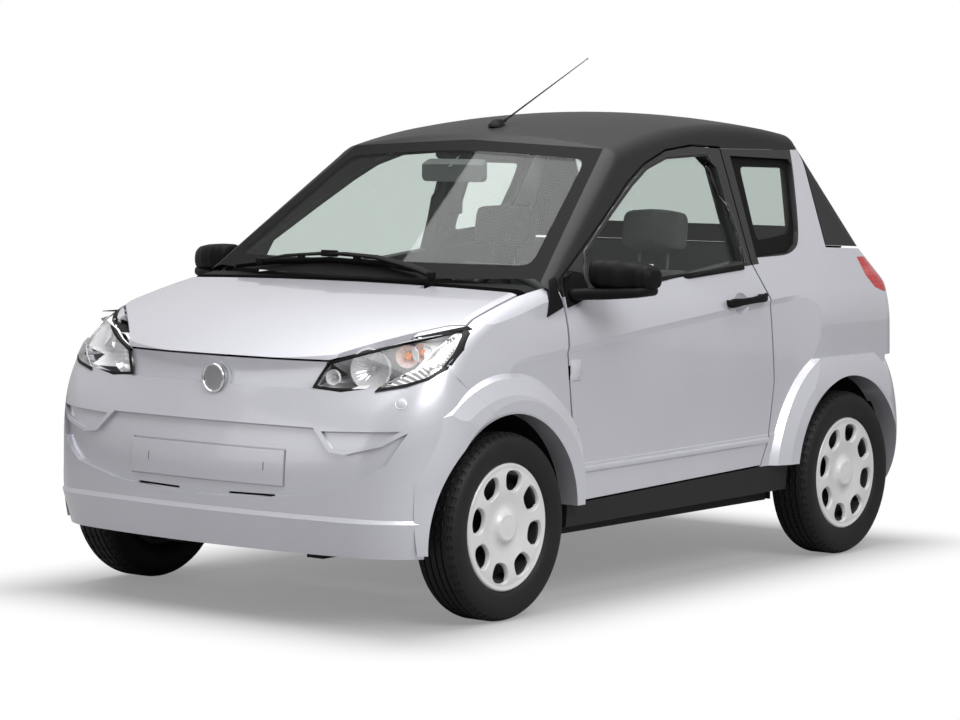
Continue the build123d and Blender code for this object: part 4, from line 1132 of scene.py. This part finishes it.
def beltShape():
    across = Vector((0, 1, 0))
    frames = [placed(place, across, along.normalized().cross(across))
              for place, along in runs([Vector(point) for point in cabin["belt"]])]
    webbing = bar(cabin["beltSize"], 1, frames)
    return joined([webbing, blocked(*cabin["beltTop"]), blocked(*cabin["beltFoot"])])


def dashShape():
    parts = [blocked(*cabin["console"]), blocked(*cabin["display"])]
    for x in cabin["ventX"]:
        parts.append(blocked((0.17, 0.032, 0.007), (x, cabin["ventY"], 0.8805), 0.003))
        for shift in cabin["slats"]:
            parts.append(blocked((0.155, 0.003, 0.004), (x, cabin["ventY"] + shift, 0.885), 0.001, 1))
    parts += [spun(cabin["knob"], (x, -0.361, 0.705), (0, 1, 0), 24) for x in cabin["knobX"]]
    return joined(parts)


pair("beltWebbing", beltShape(), "seat_fabric", look="seat_piping")
piece("dashFittings", dashShape(), "cabin_plastic", look="black_plastic")
piece("gearLever", spun(cabin["lever"], (0.0, -0.06, 0.239), (0, -0.1, 1), 32), "cabin_plastic", crease=50)
piece("cabinMirrorGlass", blocked(*cabin["mirror"]), "bright_metal")
print("cabin fittings made")

# small parts on the nose
noseSkin = skinOf("front_bumper")
nose = {
    "ring": [
        (0.002, 0.0425), (0.0045, 0.0425), (0.0065, 0.0405), (0.006, 0.0375), (0.0035, 0.0355),
        (0.0015, 0.036), (0.002, 0.0425)],
    "disc": (0, -1.3165, 0.672), "cap": (0.628, 0.632), "capRadius": 0.0165,
    "grille": (0.285, 0.0355, 0.36), "bars": (-0.003, 0.0005), "bar": (0.0016, 0.01),
}


def capShape():
    # a round cover with a fine groove near its edge; each point is (height, step in from the edge)
    x, z = nose["cap"]
    place, normal = struck(noseSkin, (x, -1.6, z), (0, 1, 0))
    rim = [(-0.003, 0), (0.0006, 0), (0.001, 0.001), (0.0006, 0.002), (-0.003, 0.002)]
    middle = [(-0.003, nose["capRadius"]), (-0.003, 0.0028), (0.0002, 0.0028), (0.0008, 0.0045),
              (0.001, nose["capRadius"])]
    return joined([
        spun([(out, nose["capRadius"] - step) for out, step in profile], place, normal, 40)
        for profile in (rim, middle)])


def grilleShape():
    half, tall, height = nose["grille"]
    frames = []
    for step in range(13):
        x = between((-half, half), step / 12)
        place = struck(noseSkin, (x, -1.2, height + 0.018), (0, -1, 0))[0]
        frames.append(placed(Vector((x, place.y + 0.004, height)), Vector((0, 0, 1)), Vector((0, -1, 0))))
    thick, out = nose["bar"]
    parts = [swept([(-tall / 2, -0.002), (-tall / 2, 0.002), (tall / 2, 0.002), (tall / 2, -0.002)], frames)]
    for low in nose["bars"]:
        parts.append(swept([(low, 0.002), (low, out), (low + thick, out), (low + thick, 0.002)], frames))
    return joined(parts)


piece("discRing", spun(nose["ring"], nose["disc"], (0, -1, 0), 64), "bright_metal", crease=60)
piece("towCap", capShape(), "body_paint")
piece("noseGrille", grilleShape(), "black_plastic")
print("nose fittings made")

# small parts on the tail
rearSkin = skinOf("rear_bumper", "tail_panel", "hatch_frame", "hatch_glass")
tail = {
    "plateLamp": {"x": (-0.15, 0.15), "z": 0.56, "wide": 0.03, "tall": 0.016},
    "reflector": {"x": (0.4, 0.53), "z": 0.33, "wide": 0.026, "tall": 0.006},
    "handle": {"x": (-0.085, 0.085), "z": 1.018, "wide": 0.026, "tall": 0.014},
    "seal": ((1.11, 0.022, 0.0058), (0, 1.156, 0.9944), 0.002, 2),
}


def tailBar(values):
    # a short moulding laid across the tail, narrower at its ends
    frames = []
    for step in range(9):
        x = between(values["x"], step / 8)
        place, normal = struck(rearSkin, (x, 1.7, values["z"]), (0, -1, 0))
        size = 0.7 if step in (0, 8) else 1.0
        across = normal.cross(Vector((1, 0, 0)))
        frames.append(placed(place, across, normal) @ Matrix.Diagonal((size, size, 1, 1)))
    return swept(strip(values["wide"], values["tall"], 0.003), frames)


piece("plateLamp", tailBar(tail["plateLamp"]), "black_plastic")
pair("rearReflector", tailBar(tail["reflector"]), "lamp_red")
piece("hatchPull", tailBar(tail["handle"]), "black_plastic", "hatch")
piece("hatchSeal", blocked(*tail["seal"]), "black_plastic")
print("tail fittings made")

# camera, lamps, sky and floor
view = {
    "place": (5.898, -7.718, 1.388), "azimuth": 37.701, "pitch": 4.35, "roll": 0.474,
    "focal": 3080.1, "wide": 960, "sensor": 36,
}
studio = {
    "floor": (0.32, 0.32, 0.325), "sky": 0.5, "shade": 0.22, "half": (0.68, 1.3), "fade": (-0.06, 0.42),
    # each lamp: its place, size and watts
    "lamps": {
        "overhead": ((0, -0.5, 5.0), (6, 6), 380), "side": ((5.5, -2.0, 4.4), (4, 2.5), 320),
        "nose": ((-2.5, -7.0, 2.2), (4, 3), 30)},
}


def camera():
    data = bpy.data.cameras.new("camera")
    data.sensor_width = view["sensor"]
    data.lens = view["focal"] / view["wide"] * data.sensor_width
    data.clip_end = 200
    seen = linked("camera", data)
    turns = (view["azimuth"], "Z"), (90 - view["pitch"], "X"), (view["roll"], "Z")
    seen.matrix_world = Matrix.Translation(view["place"])
    for angle, axis in turns:
        seen.matrix_world = seen.matrix_world @ Matrix.Rotation(radians(angle), 4, axis)
    bpy.context.scene.camera = seen


def softLamp(name, place, size, watts):
    data = bpy.data.lights.new(name, "AREA")
    data.shape = "RECTANGLE"
    data.size, data.size_y = size
    data.energy = watts
    turn = (Vector(place) - Vector((0, 0, 0.5))).to_track_quat("Z", "Y").to_matrix().to_4x4()
    linked(name, data).matrix_world = Matrix.Translation(place) @ turn


def floorLook():
    # white to the camera far from the car; near it the floor turns darker towards the car's footprint as a painted
    # shade, over the real shadow
    made = Finish("floorWhite", Roughness=0.6)
    pale = studio["floor"]
    made.feed(Base_Color=made.ramp(made.noise(60.0, 3.0), 0.3, scaled(pale, 0.99), 0.7, pale))
    x, y, z = made.axes()
    # painted shade: a mask of the distance from the car's footprint shows the darker lit floor near the car and
    # white further off
    aside, ahead = ((abs(axis) - half).greater() for axis, half in zip((x, y), studio["half"]))
    lit = smoothStep((aside * aside + ahead * ahead) ** 0.5, *studio["fade"])
    far = studio["shade"] + (1 - studio["shade"]) * lit
    rays = made.add("LightPath", {}, "Is Camera Ray")
    shaded = Tone(made, made.shader.outputs[0])
    return made.show(made.blend(far * rays, shaded, made.add("Emission", {})))


def room():
    shape = bmesh.new()
    ops.create_grid(shape, x_segments=1, y_segments=1, size=30)
    floor = linked("floor", meshOf("floor", shape))
    floor.data.materials.append(floorLook())
    world = bpy.data.worlds.new("sky")
    bpy.context.scene.world = world
    world.use_nodes = True
    tree = world.node_tree
    pick = tree.nodes.new("ShaderNodeMixShader")
    path = tree.nodes.new("ShaderNodeLightPath")
    tree.links.new(path.outputs["Is Camera Ray"], pick.inputs[0])
    skies = (tree.nodes["Background"], studio["sky"]), (tree.nodes.new("ShaderNodeBackground"), 1.0)
    for index, (sky, strength) in enumerate(skies, 1):
        sky.inputs[0].default_value = (1, 1, 1, 1)
        sky.inputs[1].default_value = strength
        tree.links.new(sky.outputs[0], pick.inputs[index])
    tree.links.new(pick.outputs[0], tree.nodes["World Output"].inputs[0])
    for name, (place, size, watts) in studio["lamps"].items():
        softLamp(name, place, size, watts)


camera()
room()
bpy.context.scene.view_settings.view_transform = "Standard"
print("room, lamps and camera made")
